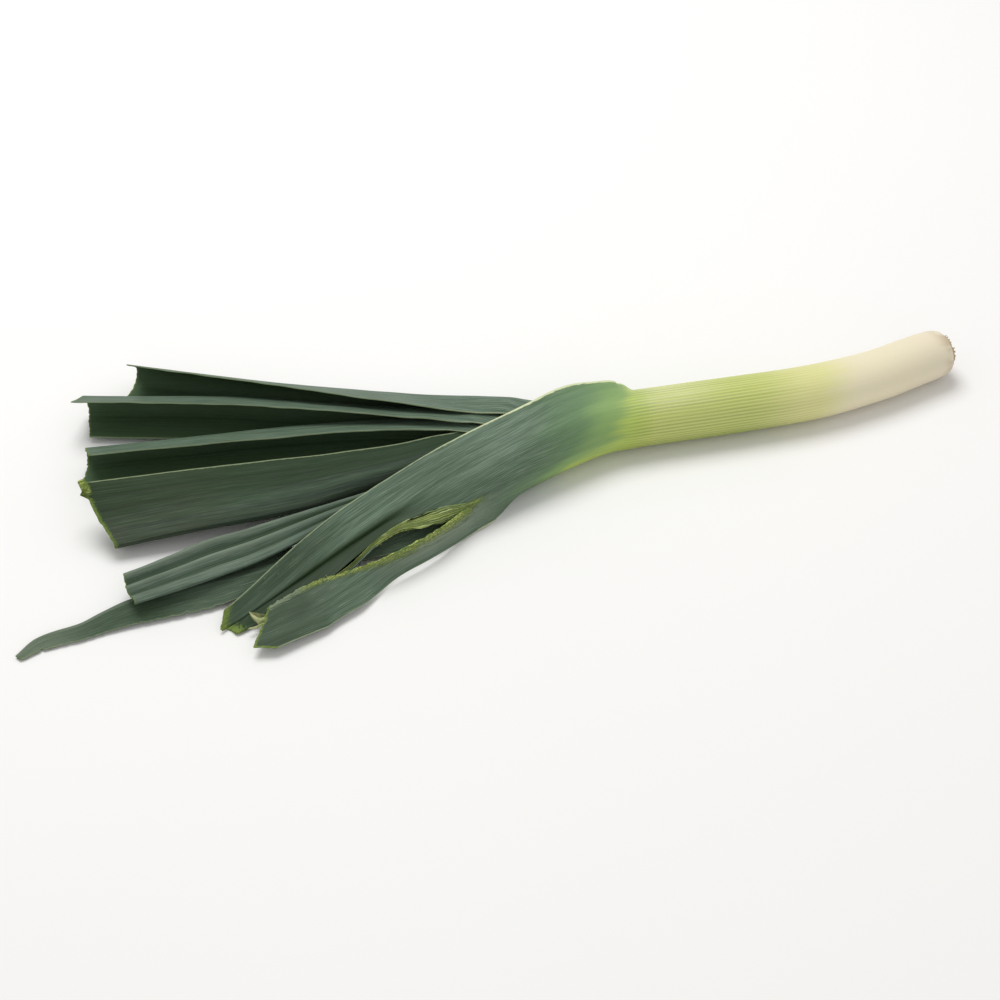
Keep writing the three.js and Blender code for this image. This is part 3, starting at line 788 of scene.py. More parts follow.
class LeekShankSettings(bpy.types.PropertyGroup):
    """Ribs and skin of the shank"""

    ribs: count_property("Ribs", "Ribs round the shank", 52, 8)
    rib_columns: count_property("Columns per Rib", "Facets across one rib", 5, 2)
    rings: count_property("Rings", "Rings along the shank", 180, 20)
    rib_height: length_property("Rib Height", "How far the ribs stand out where green", 0.16)
    rib_shade: share_property("Rib Shade", "How much darker the grooves are", 0.66)
    # painted shade for the grooves between the ribs
    groove_shade: colour_property("Groove", "Skin in the grooves between ribs", "#7c8a3c")
    # painted shade on the shank's lower side
    deep: colour_property("Lower Side", "Deeper green of the shank's lower side", "#84902a")
    speck: colour_property("Specks", "Brown specks at the root end", "#a58a64")
    roughness: share_property("Roughness", "Roughness of the skin", 0.42)


class LeekRootSettings(bpy.types.PropertyGroup):
    """Woody plate and trimmed stubs"""

    stubs: count_property("Stubs", "Trimmed root stubs", 70)
    stub_radius: length_property("Stub Radius", "Thickness of a stub at its foot", 0.65)
    stub_length: length_property("Stub Length", "Longest stub", 1.9)
    plate_radius: length_property("Plate Radius", "Radius of the woody disc", 12.6)
    plate_bulge: length_property("Plate Bulge", "How far the disc bulges", 3.4)
    seed: count_property("Seed", "Changes how the stubs fall", 5)
    colour: colour_property("Plate", "Dry woody disc", "#b89f78")
    stub_colour: colour_property("Stub", "Root stubs", "#cdb892")
    cut_colour: colour_property("Stub End", "Cut ends of the stubs", "#8c7450")
    dark: colour_property("Dark Patches", "Darker patches of dry tissue", "#7d6644")
    light: colour_property("Light Specks", "Lighter specks of dry tissue", "#dccba8")


class LeekLeafSettings(bpy.types.PropertyGroup):
    """Blades of the leaves, with the marks and edges of their skin"""

    rows: count_property("Rows", "Rows of faces along a leaf", 200, 24)
    columns: count_property("Columns", "Columns of faces across half a leaf", 40, 8)
    margin: length_property("Margin Thickness", "Blade thickness at its margins", 0.7)
    keel: length_property("Keel Thickness", "Blade thickness at its keel", 1.3)
    unevenness: length_property("Unevenness", "Depth of the blades' soft waves", 0.45)
    nick: length_property("Nicks", "Depth of the nicks in a cut end", 0.9)
    gutter: colour_property("Inner Face", "Inner face of the folded blades", "#445a3d")
    # also painted shade: in the split leaf's hollow, in the pleats' valleys and on the heart leaf's
    # upper half towards its margin
    bare_and_shade: colour_property("Bare", "Dark skin without bloom, in hollows", "#1d3213")
    bloom: colour_property("Bloom", "Waxy bloom in streaks on the outer face", "#75897a")
    pale_hair: colour_property("Pale Hairlines", "Fine pale lines in the bloom", "#8b9b8a")
    dark_hair: colour_property("Dark Hairlines", "Fine dark lines in the bloom", "#2c3d2c")
    pale_fleck: colour_property("Pale Flecks", "Short pale strokes", "#96a594")
    dark_fleck: colour_property("Dark Flecks", "Short dark strokes", "#2a3b2a")
    between_veins: colour_property("Between Veins", "Dark lines between the veins", "#2a3a2a")
    rubbed: colour_property("Rubbed", "Darker green where the bloom is rubbed off", "#3a5235")
    # also painted highlights: on the pleats' ridges and beside the heart leaf's keel
    dust_and_highlight: colour_property("Dusty Bloom", "Thick grey bloom beside the split", "#8a9482")
    scratch: colour_property("Scratch", "Fine pale scratches and specks", "#a9b79c")
    rim: colour_property("Rim", "Thin pale rim along the margins", "#b5c296")
    young_rim: colour_property("Young Rim", "Rim where a leaf leaves the shank", "#d8deb2")
    cut: colour_property("Cut End", "Rough cut end of a blade", "#7d8c48")
    roughness: share_property("Roughness", "Roughness of the waxy blades", 0.55)


class LeekTearSettings(bpy.types.PropertyGroup):
    """Torn tissue of the split leaf"""

    fibres: count_property("Fibres", "Loose fibres along the torn edges", 44)
    fibre_length: length_property("Fibre Length", "Longest loose fibre", 2.6)
    edge: length_property("Torn Edge", "Width of the frayed band along a torn edge", 2.4)
    strand_width: length_property("Strand Width", "Width of the torn midrib strand", 9)
    seed: count_property("Seed", "Changes how the fibres lie", 11)
    torn: colour_property("Torn Tissue", "Fresh torn tissue", "#b7c36a")
    strand: colour_property("Strand", "Torn midrib strand", "#93a357")
    shade: colour_property("Torn Shade", "Darker lines in torn and cut tissue", "#5c7532")
    dry: colour_property("Dry Tissue", "Drying curl of tissue", "#b9b98a")
    dried: colour_property("Dried Edge", "Torn edge near the blade's end", "#8f9d80")
    dark: colour_property("Dark Fibres", "Darker fibres of the strand", "#566a38")
    light: colour_property("Light Fibres", "Lighter fibres of the strand", "#c3cb84")
    pale: colour_property("Pale Spots", "Pale spots of the strand", "#d3d8a4")


class LeekStudioSettings(bpy.types.PropertyGroup):
    """Floor, lamps and camera"""

    floor: colour_property("Floor", "Plain pale floor", "#f1f0ee")
    distance: length_property("Camera Distance", "Camera to the leek's middle", 1250)
    elevation: FloatProperty(
        name="Camera Elevation",
        description="Camera height above the horizon",
        default=math.radians(45),
        subtype="ANGLE",
    )
    lens: FloatProperty(name="Lens", description="Focal length in mm", default=71.2, min=1)
    key: FloatProperty(name="Key Light", description="Watts of the large lamp", default=27, min=0)
    fill: FloatProperty(
        name="Fill Light", description="Watts of the front lamp", default=3.4, min=0
    )
    sky: FloatProperty(name="Sky", description="Strength of the even light", default=0.56, min=0)


# ---- the shank ----


class LEEK_OT_shank(bpy.types.Operator):
    """Makes the shank of wrapped sheaths, ribbed where it is green"""

    bl_idname = "leek.shank"
    bl_label = "Make Shank"

    def execute(self, context):
        own = context.scene.leek_shank
        rings = shank_rings(own.rings)
        rib_height = own.rib_height / MM
        last = len(rings) - 1
        bm = bmesh.new()
        grain = bm.verts.layers.float_vector.new("grain")
        columns = own.ribs * own.rib_columns
        bmesh.ops.create_grid(bm, x_segments=columns, y_segments=last, size=1)
        for v in bm.verts:
            s, radius = rings[round((v.co.y + 1) / 2 * last)]
            angle = FULL_TURN * (v.co.x + 1) / 2
            ribbed = rib_height * swell(s, *RIBS_RAISED)
            radius += ribbed * (math.cos(own.ribs * angle) - 1) / 2
            dented = SHANK_DENTS * swell(s, *DENTED)
            radius += dented * wander(math.cos(angle), math.sin(angle), s * 0.03)
            out, upright = section_axes(AXIS.run(s), FRONT, LEAVES[0]["roll"])
            arm = out * math.cos(angle) + upright * math.sin(angle)
            v.co = AXIS.point(s) + arm * radius
            v.co.z = max(v.co.z, 0)
            v[grain] = grain_of(angle, s)
        close_up(bm, 0.001)
        finish_piece(bm, "shank", "shaft", skin_material("Shank Skin", context.scene))
        return {"FINISHED"}


def shank_rings(count):
    """Where the shank's rings lie and their radii: the rounded root end, count rings up to the
    first collar, a step at each collar, and the heart."""
    rings = [(SHANK_START - 0.25, 11.6), (SHANK_START - 0.15, 12.6), (SHANK_START + 0.1, 13.3)]
    for n in range(count):
        s = SHANK_START + 0.6 + (COLLARS[0] - SHANK_START - 1) * ((n + 0.5) / count)
        rings.append((s, RADIUS.at(s)[0]))
    step = SHEATH_WALL + SHEATH_GAP
    for k, collar in enumerate(COLLARS):
        radius = RADIUS.at(collar)[0] - k * step
        rings += [(collar, radius - 0.04), (collar + 0.01, radius - step)]
    heart = RADIUS.at(SHANK_END)[0] - len(COLLARS) * step
    return rings + [(SHANK_END - 5, heart), (SHANK_END - 2, heart * 0.8), (SHANK_END, heart * 0.4)]


# ---- the roots ----


class LEEK_OT_roots(bpy.types.Operator):
    """Makes the woody root plate with its trimmed root stubs"""

    bl_idname = "leek.roots"
    bl_label = "Make Roots"

    def execute(self, context):
        own = context.scene.leek_roots
        radius, bulge = own.plate_radius / MM, own.plate_bulge / MM
        bm = bmesh.new()
        bm.verts.layers.float.new("stub")
        root_plate(bm, radius, bulge)
        root_stubs(bm, own, radius, bulge)
        point_along(bm, bm.verts[:], -AXIS.run(SHANK_START), AXIS.point(SHANK_START - JOINT_GAP))
        bmesh.ops.recalc_face_normals(bm, faces=bm.faces[:])
        finish_piece(bm, "roots", "root_plate", root_material(context.scene))
        return {"FINISHED"}


def root_plate(bm, radius, bulge):
    """A disc's half outline, spun into an uneven dome whose back lies on the shank's end."""
    steps = 10
    outline = [(0.0, 0.0), (radius, 0.0)]
    for n in range(1, steps):
        a = math.pi / 2 * n / steps
        outline.append((radius * math.cos(a), bulge * math.sin(a) ** DOME))
    outline.append((0.0, bulge))
    verts = [bm.verts.new((r, 0, z)) for r, z in outline]
    edges = [bm.edges.new(pair) for pair in zip(verts, verts[1:])]
    bmesh.ops.spin(
        bm,
        geom=verts + edges,
        cent=(0, 0, 0),
        axis=(0, 0, 1),
        angle=FULL_TURN,
        steps=72,
        use_merge=True,
    )
    bmesh.ops.remove_doubles(bm, verts=bm.verts[:], dist=0.001)
    for v in bm.verts:
        if v.co.z > 0.3:
            v.co.z += 0.35 * wander(v.co.x * 0.5, v.co.y * 0.5, 3)
            v.co.z += 0.12 * math.cos(math.hypot(v.co.x, v.co.y) * 2.2)


def root_stubs(bm, own, radius, bulge):
    """Tapered stubs set in a spiral over the dome, leaning outwards towards its rim."""
    rng = random.Random(own.seed)
    kind = bm.verts.layers.float["stub"]
    golden = math.pi * (3 - math.sqrt(5))
    for n in range(own.stubs):
        far = math.sqrt((n + 0.5) / own.stubs)
        angle = n * golden + 0.5 * rng.random()
        foot = own.stub_radius / MM * rng.uniform(0.75, 1.15)
        length = own.stub_length / MM * rng.uniform(0.4, 1.0)
        made = bmesh.ops.create_cone(
            bm,
            cap_ends=True,
            segments=8,
            radius1=foot * 1.15,
            radius2=foot * rng.uniform(0.6, 0.85),
            depth=length + 1,
        )["verts"]
        for v in made:
            v[kind] = 1.0 if v.co.z > 0 else 0.6
        lean = 0.6 * far + rng.uniform(-0.2, 0.2)
        across = Vector((math.cos(angle), math.sin(angle), 0))
        seat = across * (radius * 0.9 * far)
        seat.z = bulge * math.sqrt(max(1 - (0.95 * far) ** 2, 0)) ** DOME
        rise = across * math.sin(lean)
        rise.z = math.cos(lean)
        point_along(bm, made, rise, seat + rise * ((length - 1) / 2))


def root_material(scene):
    """Dry, fibrous tissue, darker in patches, with the stubs' cut ends."""
    own = scene.leek_roots
    material, net, shader = new_material("Roots")
    place = net.node("TexCoord").outputs["Object"]
    stub = net.attribute("stub")
    coarse = net.noise(place, 260.0, 4.0, 0.6)
    fine = net.noise(place, 1400.0, 3.0, 0.6)
    colour = net.layers(
        net.blend(net.between(stub, 0.2, 0.55), own.colour, own.stub_colour),
        (own.cut_colour, net.between(stub, 0.93, 1.0), 0.6),
        (own.dark, net.between(coarse, 0.45, 0.7), 0.45),
        (own.light, net.between(fine, 0.5, 0.8), 0.4),
    )
    net.feed(shader.inputs["Base Color"], colour)
    net.feed(shader.inputs["Roughness"], net.between(fine, 0.2, 0.8, 0.75, 0.95))
    net.relief(shader, net.scaled(fine, 0.5, coarse), 0.0003)
    return material


# ---- the leaves ----


class Look(NamedTuple):
    """A leaf's own colours, how deep they lie, and the widths of its edges in millimetres."""

    bloom: float  # how strongly the bloom shows
    tint: str
    depth: float
    rim: float
    rim_light: float
    cut: float
    end: str = "#33452f"  # colour towards its end
    end_depth: float = 0.0
    turns: float = 430.0  # where along the grain that colour sets in
    gloss: float = 0.12
    dries: float = 900.0  # where along the grain a torn edge turns pale
    lines: float = 1.0  # how strongly veins and scratches show
    cut_light: float = 0.6  # how strongly the cut end stands out


LEAF_LOOKS = [
    Look(0.42, "#5e7a5f", 0.0, 0.7, 0.85, 5.5, "#283822", 0.9, 428.0, 0.23, 460.0, cut_light=0.95),
    Look(0.75, "#4a5c4c", 0.6, 0.6, 0.5, 1.3),
    Look(0.14, "#42533f", 0.9, 0.5, 0.4, 1.0, "#97a487", 0.28, 585.0, cut_light=0.3),
    Look(0.6, "#4a5c4c", 0.6, 0.6, 0.5, 1.3),
    Look(0.52, "#29372d", 0.9, 0.55, 0.5, 1.1, "#6b7d6e", 0.5, 395.0, cut_light=0.4),
    Look(0.5, "#4a5c4c", 0.6, 0.6, 0.5, 1.3),
    Look(0.02, "#1c2920", 0.96, 0.8, 0.75, 2.4, "#4a4a38", 0.35, 480.0, lines=0.35, cut_light=0.85),
]


class Blade:
    """One leaf's shape. Its points are given by u, the distance from its collar, and v, the share
    of the half's width from the keel, which is negative on the lower half. sign is 1 on the upper
    half and -1 on the lower, because the two sides of a split share their keel."""

    def __init__(self, index, own):
        leaf = LEAVES[index]
        self.index, self.rank = index, leaf["rank"]
        self.cut, self.pleat = leaf["cut"], leaf.get("pleat", 0)
        self.gully, self.ear, self.tip = (leaf.get(key, 0) for key in ("gully", "ear", "tip"))
        self.uneven, self.nick = own.unevenness / MM, own.nick / MM
        self.margin, self.keel = own.margin / MM, own.keel / MM
        radius = RADIUS_ROWS[-1][1] - SHEATH_WALL / 2 - index * (SHEATH_WALL + SHEATH_GAP)
        half = self.girth = math.pi * radius
        whole = 1 - SHEATH_SLIT / half
        roll = leaf.get("roll", 0)
        mouth = []
        for row in [[JOINT_GAP, 0, 180, whole, 180, whole], *leaf.get("mouth", MOUTH)]:
            at, drift, up_turn, up_share, low_turn, low_share = row
            s = COLLARS[index] + at
            out, _ = section_axes(AXIS.run(s), self.rank, roll)
            keel = AXIS.point(s) + out * (radius + drift)
            fold = radius + min(drift, FLARE)
            upper = [fold, 0, up_turn, half * up_share]
            lower = [fold, 0, low_turn, half * low_share]
            mouth.append([at, *keel, roll, *upper, *lower])
        self.main = Table(mouth + leaf["rows"])
        self.torn = Table(leaf["tear"]) if "tear" in leaf else None
        self.torn_cut = leaf.get("tear_cut")
        self.tear = self.torn.start if self.torn else math.inf
        self.start, self.end = JOINT_GAP - TUCK, self.main.end
        self.known = {}

    def section(self, table, at):
        """The keel point, the section's axes and the table's values, kept for the next point."""
        key = (table is self.torn, round(at, 3))
        if key not in self.known:
            values = table.at(at)
            axes = section_axes(table.run(at), self.rank, values[3])
            self.known[key] = (Vector(values[:3]), axes, values)
        return self.known[key]

    def across(self, keel, axes, sign, section, reach):
        """The point at arc length reach from the keel on one half."""
        radius, start, turn = section[:3]
        start, turn = math.radians(start), math.radians(turn)
        way = 1 if turn >= start else -1
        bent = min(reach, abs(turn - start) * radius)
        angle = start + way * bent / radius
        rest = reach - bent
        rise = way * radius * (math.sin(angle) - math.sin(start)) + rest * math.cos(angle)
        back = way * radius * (math.cos(start) - math.cos(angle)) + rest * math.sin(angle)
        out, upright = axes
        return keel + upright * (sign * rise) - out * back

    def spot(self, u, v, sign):
        """A point of the middle surface, its place in the grain, and how far it is from the
        margin, the cut end and a torn edge."""
        lower_torn = sign < 0 and u > self.tear
        table = self.torn if lower_torn else self.main
        lane = 11 * self.index + (3 if lower_torn else 0)
        # the cut end is slanted and nicked, and its lip stands out
        share = v + 1 if lower_torn else (v + 1) / 2
        slant = evenly(self.torn_cut if lower_torn else self.cut, share)
        ragged = wander(v * 9, lane) + 0.6 * wander(v * 26, lane + 5)
        lip = smooth(v, 0.74, 0.86) if self.ear and sign > 0 else 0
        at = u + slant * smooth(u, self.end - CUT_REACH, self.end)
        at += self.nick * ragged * smooth(u, self.end - 9, self.end)
        at += self.ear * lip * smooth(u, self.end - LIP_LENGTH, self.end)
        keel, axes, values = self.section(table, at)
        offset = 4 if (sign > 0 or lower_torn) else 8
        section = values[offset : offset + 4]
        width = section[3]
        reach, torn = self.torn_edge(u, abs(v) * width, lower_torn, lane)
        if self.tip and sign < 0:
            # small nicks in the long leaf's lower margin
            nicks = max(0, wander(u * 0.21, 40)) * smooth(u, self.tip - 60, self.tip - 30)
            reach -= STRAP_NICKS * nicks * smooth(abs(v), 0.5, 1)
        p = self.across(keel, axes, sign, section, reach)
        if self.pleat and sign > 0:
            p += axes[1] * (self.pleat * width * smooth(at, 90, 170) * self.pleats(v))
        if self.gully and sign > 0:
            trough = math.sin(math.pi * min(2 * v, 1)) ** 2
            p -= axes[0] * (self.gully * smooth(at, 135, 185) * trough)
        # the upper corner of the cut end is curled over
        past = at - self.end - slant
        if lip and past > -5:
            torn = 3 * (1 - lip) + max(0, -1.5 - past)
            if past > -1:
                p += self.rolled((past + 1) * lip, table.run(at), axes, section)
        cut = (self.end - u) * (2.5 if lower_torn else 1)
        margin = (1 - abs(v)) * width
        if self.torn:
            # the outermost leaf's rim is broadest where it leaves the shank
            margin *= 0.3 + 0.25 * smooth(u, 45, 100) + 0.45 * smooth(u, 110, 170)
            margin *= 2 if lower_torn else 1
        return p, self.grain(u, v, sign, width, lower_torn), Vector((margin, cut, torn))

    def torn_edge(self, u, reach, lower_torn, lane):
        """Moves a point to and fro where the keel is torn, and says how far the tear is away."""
        if not self.torn:
            return reach, NO_TEAR
        if u <= self.tear:
            return reach, math.hypot((self.tear - u) / 4, reach)
        # the torn edge is jagged, and sharpest a little way after the split
        jag = wander(u * 0.22, lane) + 0.6 * wander(u * 0.7, lane + 2)
        jag *= smooth(u, self.tear, self.tear + 14) * max(0, 1 - reach / 5)
        reach += jag * (0.9 if lower_torn else 0.4)
        if lower_torn:
            return reach, reach * (0.45 + 0.35 * smooth(u, 180, 225))
        # part of the upper tongue's edge has gone with the midrib
        torn = reach + 12 * smooth(u, 185, 225)
        bite = 5 * swell(u, 160, 182, 190, 222)
        return reach + bite * max(0, 1 - reach / 13), torn

    def pleats(self, v):
        """The ups and downs of a pleated half, from -1 to 1."""
        return math.sin(5 * math.pi * v) * min(1, 3 * v)

    def rolled(self, past, run, axes, section):
        """How far a point moves when the cut end's corner curls up; past is how deep in it is."""
        slope = math.radians(section[2])
        out, upright = axes
        face = out * math.cos(slope) + upright * math.sin(slope)
        turn = past / CURL_RADIUS
        along = CURL_RADIUS * math.sin(turn) - past
        return run * along + face * (CURL_RADIUS * (1 - math.cos(turn)))

    def grain(self, u, v, sign, width, lower_torn):
        """Where a point lies in the grain."""
        if self.torn and u > self.tear:
            # lines stay parallel to the margin where the blade is torn, and fan out before
            tongue = LOWER_TONGUE if lower_torn else UPPER_TONGUE
            line = GIRTH - (1 - abs(v)) * width * GIRTH / tongue
        else:
            share = width / self.girth
            line = abs(v) * GIRTH * (share + (1 - share) * smooth(u, 0, 100))
        # the upper margin turns green early, and the keel and lower half late
        place = sign * line / GIRTH
        early = 20 * smooth(place, 0.3, 0.85) * smooth(u, 0, 14)
        early -= 31 * smooth(-place, -0.22, 0.3) * swell(u, 15, 60, 95, 140)
        return grain_of(math.pi * place, COLLARS[self.index] + u + early)

    def tone(self, u, v, sign):
        """Thick bloom and painted highlights up to 1, bare skin and painted shade down to -1."""
        if self.torn and sign > 0:
            # painted shade in the hollow beside the torn edge, and a darker band before it
            hollow = swell(v, 0, 0.07, 0.38, 0.56) * smooth(u, 140, 185)
            return -hollow - 0.25 * swell(u, 95, 130, 150, 180)
        if self.torn:
            dusty = swell(u, 105, 140, 165, 215) * (1 - smooth(abs(v), 0.45, 0.95))
            return dusty - 0.35 * smooth(u, 240, 270)
        if self.pleat and sign > 0:
            # painted highlights on the pleats' ridges and painted shade in their valleys; darker
            # towards the collar
            wave = self.pleats(v) * smooth(u, 80, 150)
            return (0.55 if wave > 0 else 0.75) * wave - 0.3 * (1 - smooth(u, 160, 220))
        if self.tip:
            past = u - self.tip
            if sign > 0:
                return 0.45 * smooth(past, 0, 40)
            return 0.35 * smooth(past, 0, 40) - 0.45 * swell(past, -40, 0, 30, 60)
        if self.ear and sign > 0:
            # painted shade over the upper half towards its margin, and a painted highlight beside
            # the keel
            bare_and_shade = smooth(v, 0.3, 0.6) * (0.65 - 0.15 * smooth(u, 190, 240))
            return 0.25 * (1 - smooth(v, 0, 0.3)) - bare_and_shade
        return 0.0

    def thickness(self, u, v):
        """Thickness of the blade, which grows from that of its sheath."""
        margin_ward = 1 - (1 - abs(v)) ** 2
        blade = self.keel + (self.margin - self.keel) * margin_ward
        return SHEATH_WALL + (blade - SHEATH_WALL) * min(max(u, 0) / 60, 1)

    def waves(self, u, v):
        """Soft unevenness of the blade, and small waves along its margins."""
        lane = 17.3 * self.index
        body = wander(v * 2.2, u * 0.018, lane) + 0.4 * wander(v * 5, u * 0.05, lane)
        margin = max(0, (abs(v) - 0.8) / 0.2) ** 2
        frill = wander(math.copysign(4, v), u * 0.07, lane) * margin
        return smooth(u, 40, 110) * self.uneven * (body + 0.9 * frill)


class LEEK_OT_leaves(bpy.types.Operator):
    """Makes the seven folded leaf blades, from the outermost, split one to the heart leaf"""

    bl_idname = "leek.leaves"
    bl_label = "Make Leaves"

    def execute(self, context):
        own = context.scene.leek_leaves
        for index, leaf in enumerate(LEAVES):
            blade = Blade(index, own)
            bm = blade_mesh(blade, own.rows, own.columns + (TORN_COLUMNS if blade.torn else 0))
            name = "Leaf %d Skin" % (index + 1)
            material = skin_material(name, context.scene, LEAF_LOOKS[index])
            finish_piece(bm, "blade_%d" % (index + 1), leaf["node"], material)
        return {"FINISHED"}


def crowded(t, most):
    """Moves evenly spread numbers from 0 to 1 towards both ends; most is below 1."""
    return t - most * math.sin(FULL_TURN * t) / FULL_TURN


def blade_mesh(blade, rows, half_columns):
    """A blade as a closed sheet: a grid laid on its middle surface, then given its thickness."""
    length = blade.end - blade.start
    stations = [blade.start + length * crowded(i / rows, ROWS_CROWDED) for i in range(rows + 1)]
    if blade.torn:
        nearest = min(range(rows + 1), key=lambda i: abs(stations[i] - blade.tear))
        stations[nearest] = blade.tear
    bm = bmesh.new()
    grain = bm.verts.layers.float_vector.new("grain")
    edges = bm.verts.layers.float_vector.new("edges")
    inner = bm.verts.layers.float.new("inner")
    tone = bm.verts.layers.float.new("tone")
    number = bm.verts.layers.int.new("number")
    bmesh.ops.create_grid(bm, x_segments=2 * half_columns, y_segments=rows, size=1)

    def station(v):
        return stations[round((v.co.y + 1) / 2 * rows)]

    def in_split(edge):
        return all(abs(v.co.x) < 1e-5 and station(v) >= blade.tear for v in edge.verts)

    bmesh.ops.split_edges(bm, edges=[e for e in bm.edges if in_split(e)])
    flat = []
    for v in bm.verts:
        # the two sides of the split share a column: the faces tell them apart
        sign = 1 if sum(f.calc_center_median().x for f in v.link_faces) > 0 else -1
        flat.append((v, station(v), sign * crowded(abs(v.co.x), COLUMNS_CROWDED), sign))
    for v, u, across, sign in flat:
        v.co, v[grain], v[edges] = blade.spot(u, across, sign)
        v[tone] = blade.tone(u, across, sign)
    if blade.rank == BACK:
        bmesh.ops.reverse_faces(bm, faces=bm.faces[:])
    bm.normal_update()
    waves = [v.normal * blade.waves(u, across) for v, u, across, _ in flat]
    for (v, u, across, _), wave in zip(flat, waves):
        v.co += wave
        v.co.z = max(v.co.z, blade.thickness(u, across) / 2)
    bm.normal_update()
    pushes = []
    for n, (v, u, across, _) in enumerate(flat):
        v[number] = n
        pushes.append(v.normal * (blade.thickness(u, across) / 2))
    made = bmesh.ops.extrude_face_region(bm, geom=bm.faces[:], use_keep_orig=True)["geom"]
    for v in made:
        if isinstance(v, bmesh.types.BMVert):
            v.co += pushes[v[number]]
    for (v, *_), push in zip(flat, pushes):
        v.co -= push
        v[inner] = 1.0
    bmesh.ops.recalc_face_normals(bm, faces=bm.faces[:])
    bm.verts.layers.int.remove(number)
    return bm


# ---- torn tissue ----


class LEEK_OT_torn_tissue(bpy.types.Operator):
    """Makes the torn midrib strand, the drying curl and the loose fibres of the split leaf"""

    bl_idname = "leek.torn_tissue"
    bl_label = "Make Torn Tissue"

    def execute(self, context):
        own = context.scene.leek_tear
        blade = Blade(0, context.scene.leek_leaves)
        material = torn_material(context.scene)
        for name, bm in (
            ("torn_strand", strand_mesh(blade, own)),
            ("torn_curl", curl_mesh()),
            ("torn_fibres", fibre_mesh(blade, own)),
        ):
            finish_piece(bm, name, None, material)
        return {"FINISHED"}


def torn_material(scene):
    """Torn tissue in lengthwise fibres, paler and plainer where it is dry."""
    own = scene.leek_tear
    material, net, shader = new_material("Torn Tissue")
    grain, dry = net.attribute("grain", "Vector"), net.attribute("dry")
    lines = net.fibrous(grain, 0.95, 0.045, 3.0, 0.65)
    spots = net.fibrous(grain, 0.5, 0.16, 3.0)
    fresh = net.inverse(net.times(dry, 0.7))
    colour = net.layers(
        net.blend(dry, own.strand, own.dry),
        (own.dark, net.between(lines, 0.4, 0.56), fresh, 0.85),
        (own.light, net.between(lines, 0.4, 0.3), fresh, 0.7),
        (own.pale, net.between(spots, 0.58, 0.75), 0.5),
    )
    net.feed(shader.inputs["Base Color"], colour)
    net.feed(shader.inputs["Roughness"], net.between(lines, 0.3, 0.7, 0.45, 0.7))
    net.relief(shader, lines, 0.0004)
    return material


def tissue_mesh():
    """An empty mesh with the layers that the torn tissue's material reads."""
    bm = bmesh.new()
    return bm, bm.verts.layers.float_vector.new("grain"), bm.verts.layers.float.new("dry")


def straps_mesh(length_steps, girth_steps, straps):
    """Closed straps, each along a path: path gives a point and two axes at t from 0 to 1, profile
    an outline point at a turn from 0 to 1, and dry how dry the tissue is."""
    bm, grain, dryness = tissue_mesh()
    for path, profile, dry in straps:
        made = bmesh.ops.create_grid(bm, x_segments=girth_steps, y_segments=length_steps, size=1)
        for v in made["verts"]:
            turn, t = (v.co.x + 1) / 2, (v.co.y + 1) / 2
            centre, wide, thick = path(t)
            a, b = profile(turn, t)
            v.co = centre + wide * a + thick * b
            v[grain] = Vector((a, b, t * 100))
            v[dryness] = dry(t)
    close_up(bm, 0.0005)
    return bm


def strand_mesh(blade, own):
    """The midrib's torn strand, which stays on the upper tongue's torn edge and thins out."""
    wider = own.strand_width / MM / 9
    course = Table(STRAND_ROWS)

    def along(t):
        return course.start + (course.end - course.start) * t

    def path(t):
        u = along(t)
        edge, inward = blade.spot(u, 0.02, 1)[0], blade.spot(u, 0.12, 1)[0]
        wide = (inward - edge).normalized()
        thick = blade.main.run(u).cross(wide).normalized()
        if thick.y > 0:
            thick = -thick
        sway = 0.5 * wander(u * 0.06, 4)
        return edge + thick * 0.9 + wide * (course.at(u)[0] + sway), wide, thick

    def profile(turn, t):
        _, half, deep = course.at(along(t))
        fray = 1 + 0.2 * wander(turn * 9, t * 14)
        angle = FULL_TURN * turn
        ridge = 1 + 0.45 * math.cos(7 * math.pi * math.cos(angle) + 2 * wander(t * 5, 9))
        return half * wider * fray * math.cos(angle), deep * ridge * math.sin(angle)

    straps = [(path, profile, lambda t: 0.25 * t)]
    return straps_mesh(length_steps=150, girth_steps=72, straps=straps)


def curl_mesh():
    """A forked curl of drying skin at the corner of the lower tongue's end."""
    straps = []
    for lane, rows in enumerate(CURL_ROWS):
        course = Table(rows)

        def path(t, course=course, lane=lane):
            if 0.02 < t < 0.98:
                run = course.run(t)
            else:
                run = (course.point(t + 0.01) - course.point(t - 0.01)).normalized()
            lean = 0.9 * wander(t * 3, lane * 7.0) + 0.6 * (1 - 2 * lane)
            wide = (Vector((0.2, 0.75, 0.5 + lean)) - run * 0.2).normalized()
            return course.point(t), wide, run.cross(wide).normalized()

        def profile(turn, t, course=course, lane=lane):
            angle = FULL_TURN * turn
            half = course.at(t)[3] * (1 + 0.3 * wander(turn * 6, t * 7, lane + 2))
            bow = 0.9 * math.cos(angle) ** 2 * math.sin(3 * t + lane)
            return half * math.cos(angle), 0.28 * math.sin(angle) + bow

        straps.append((path, profile, lambda t: 0.45 + 0.4 * t))
    return straps_mesh(length_steps=40, girth_steps=24, straps=straps)


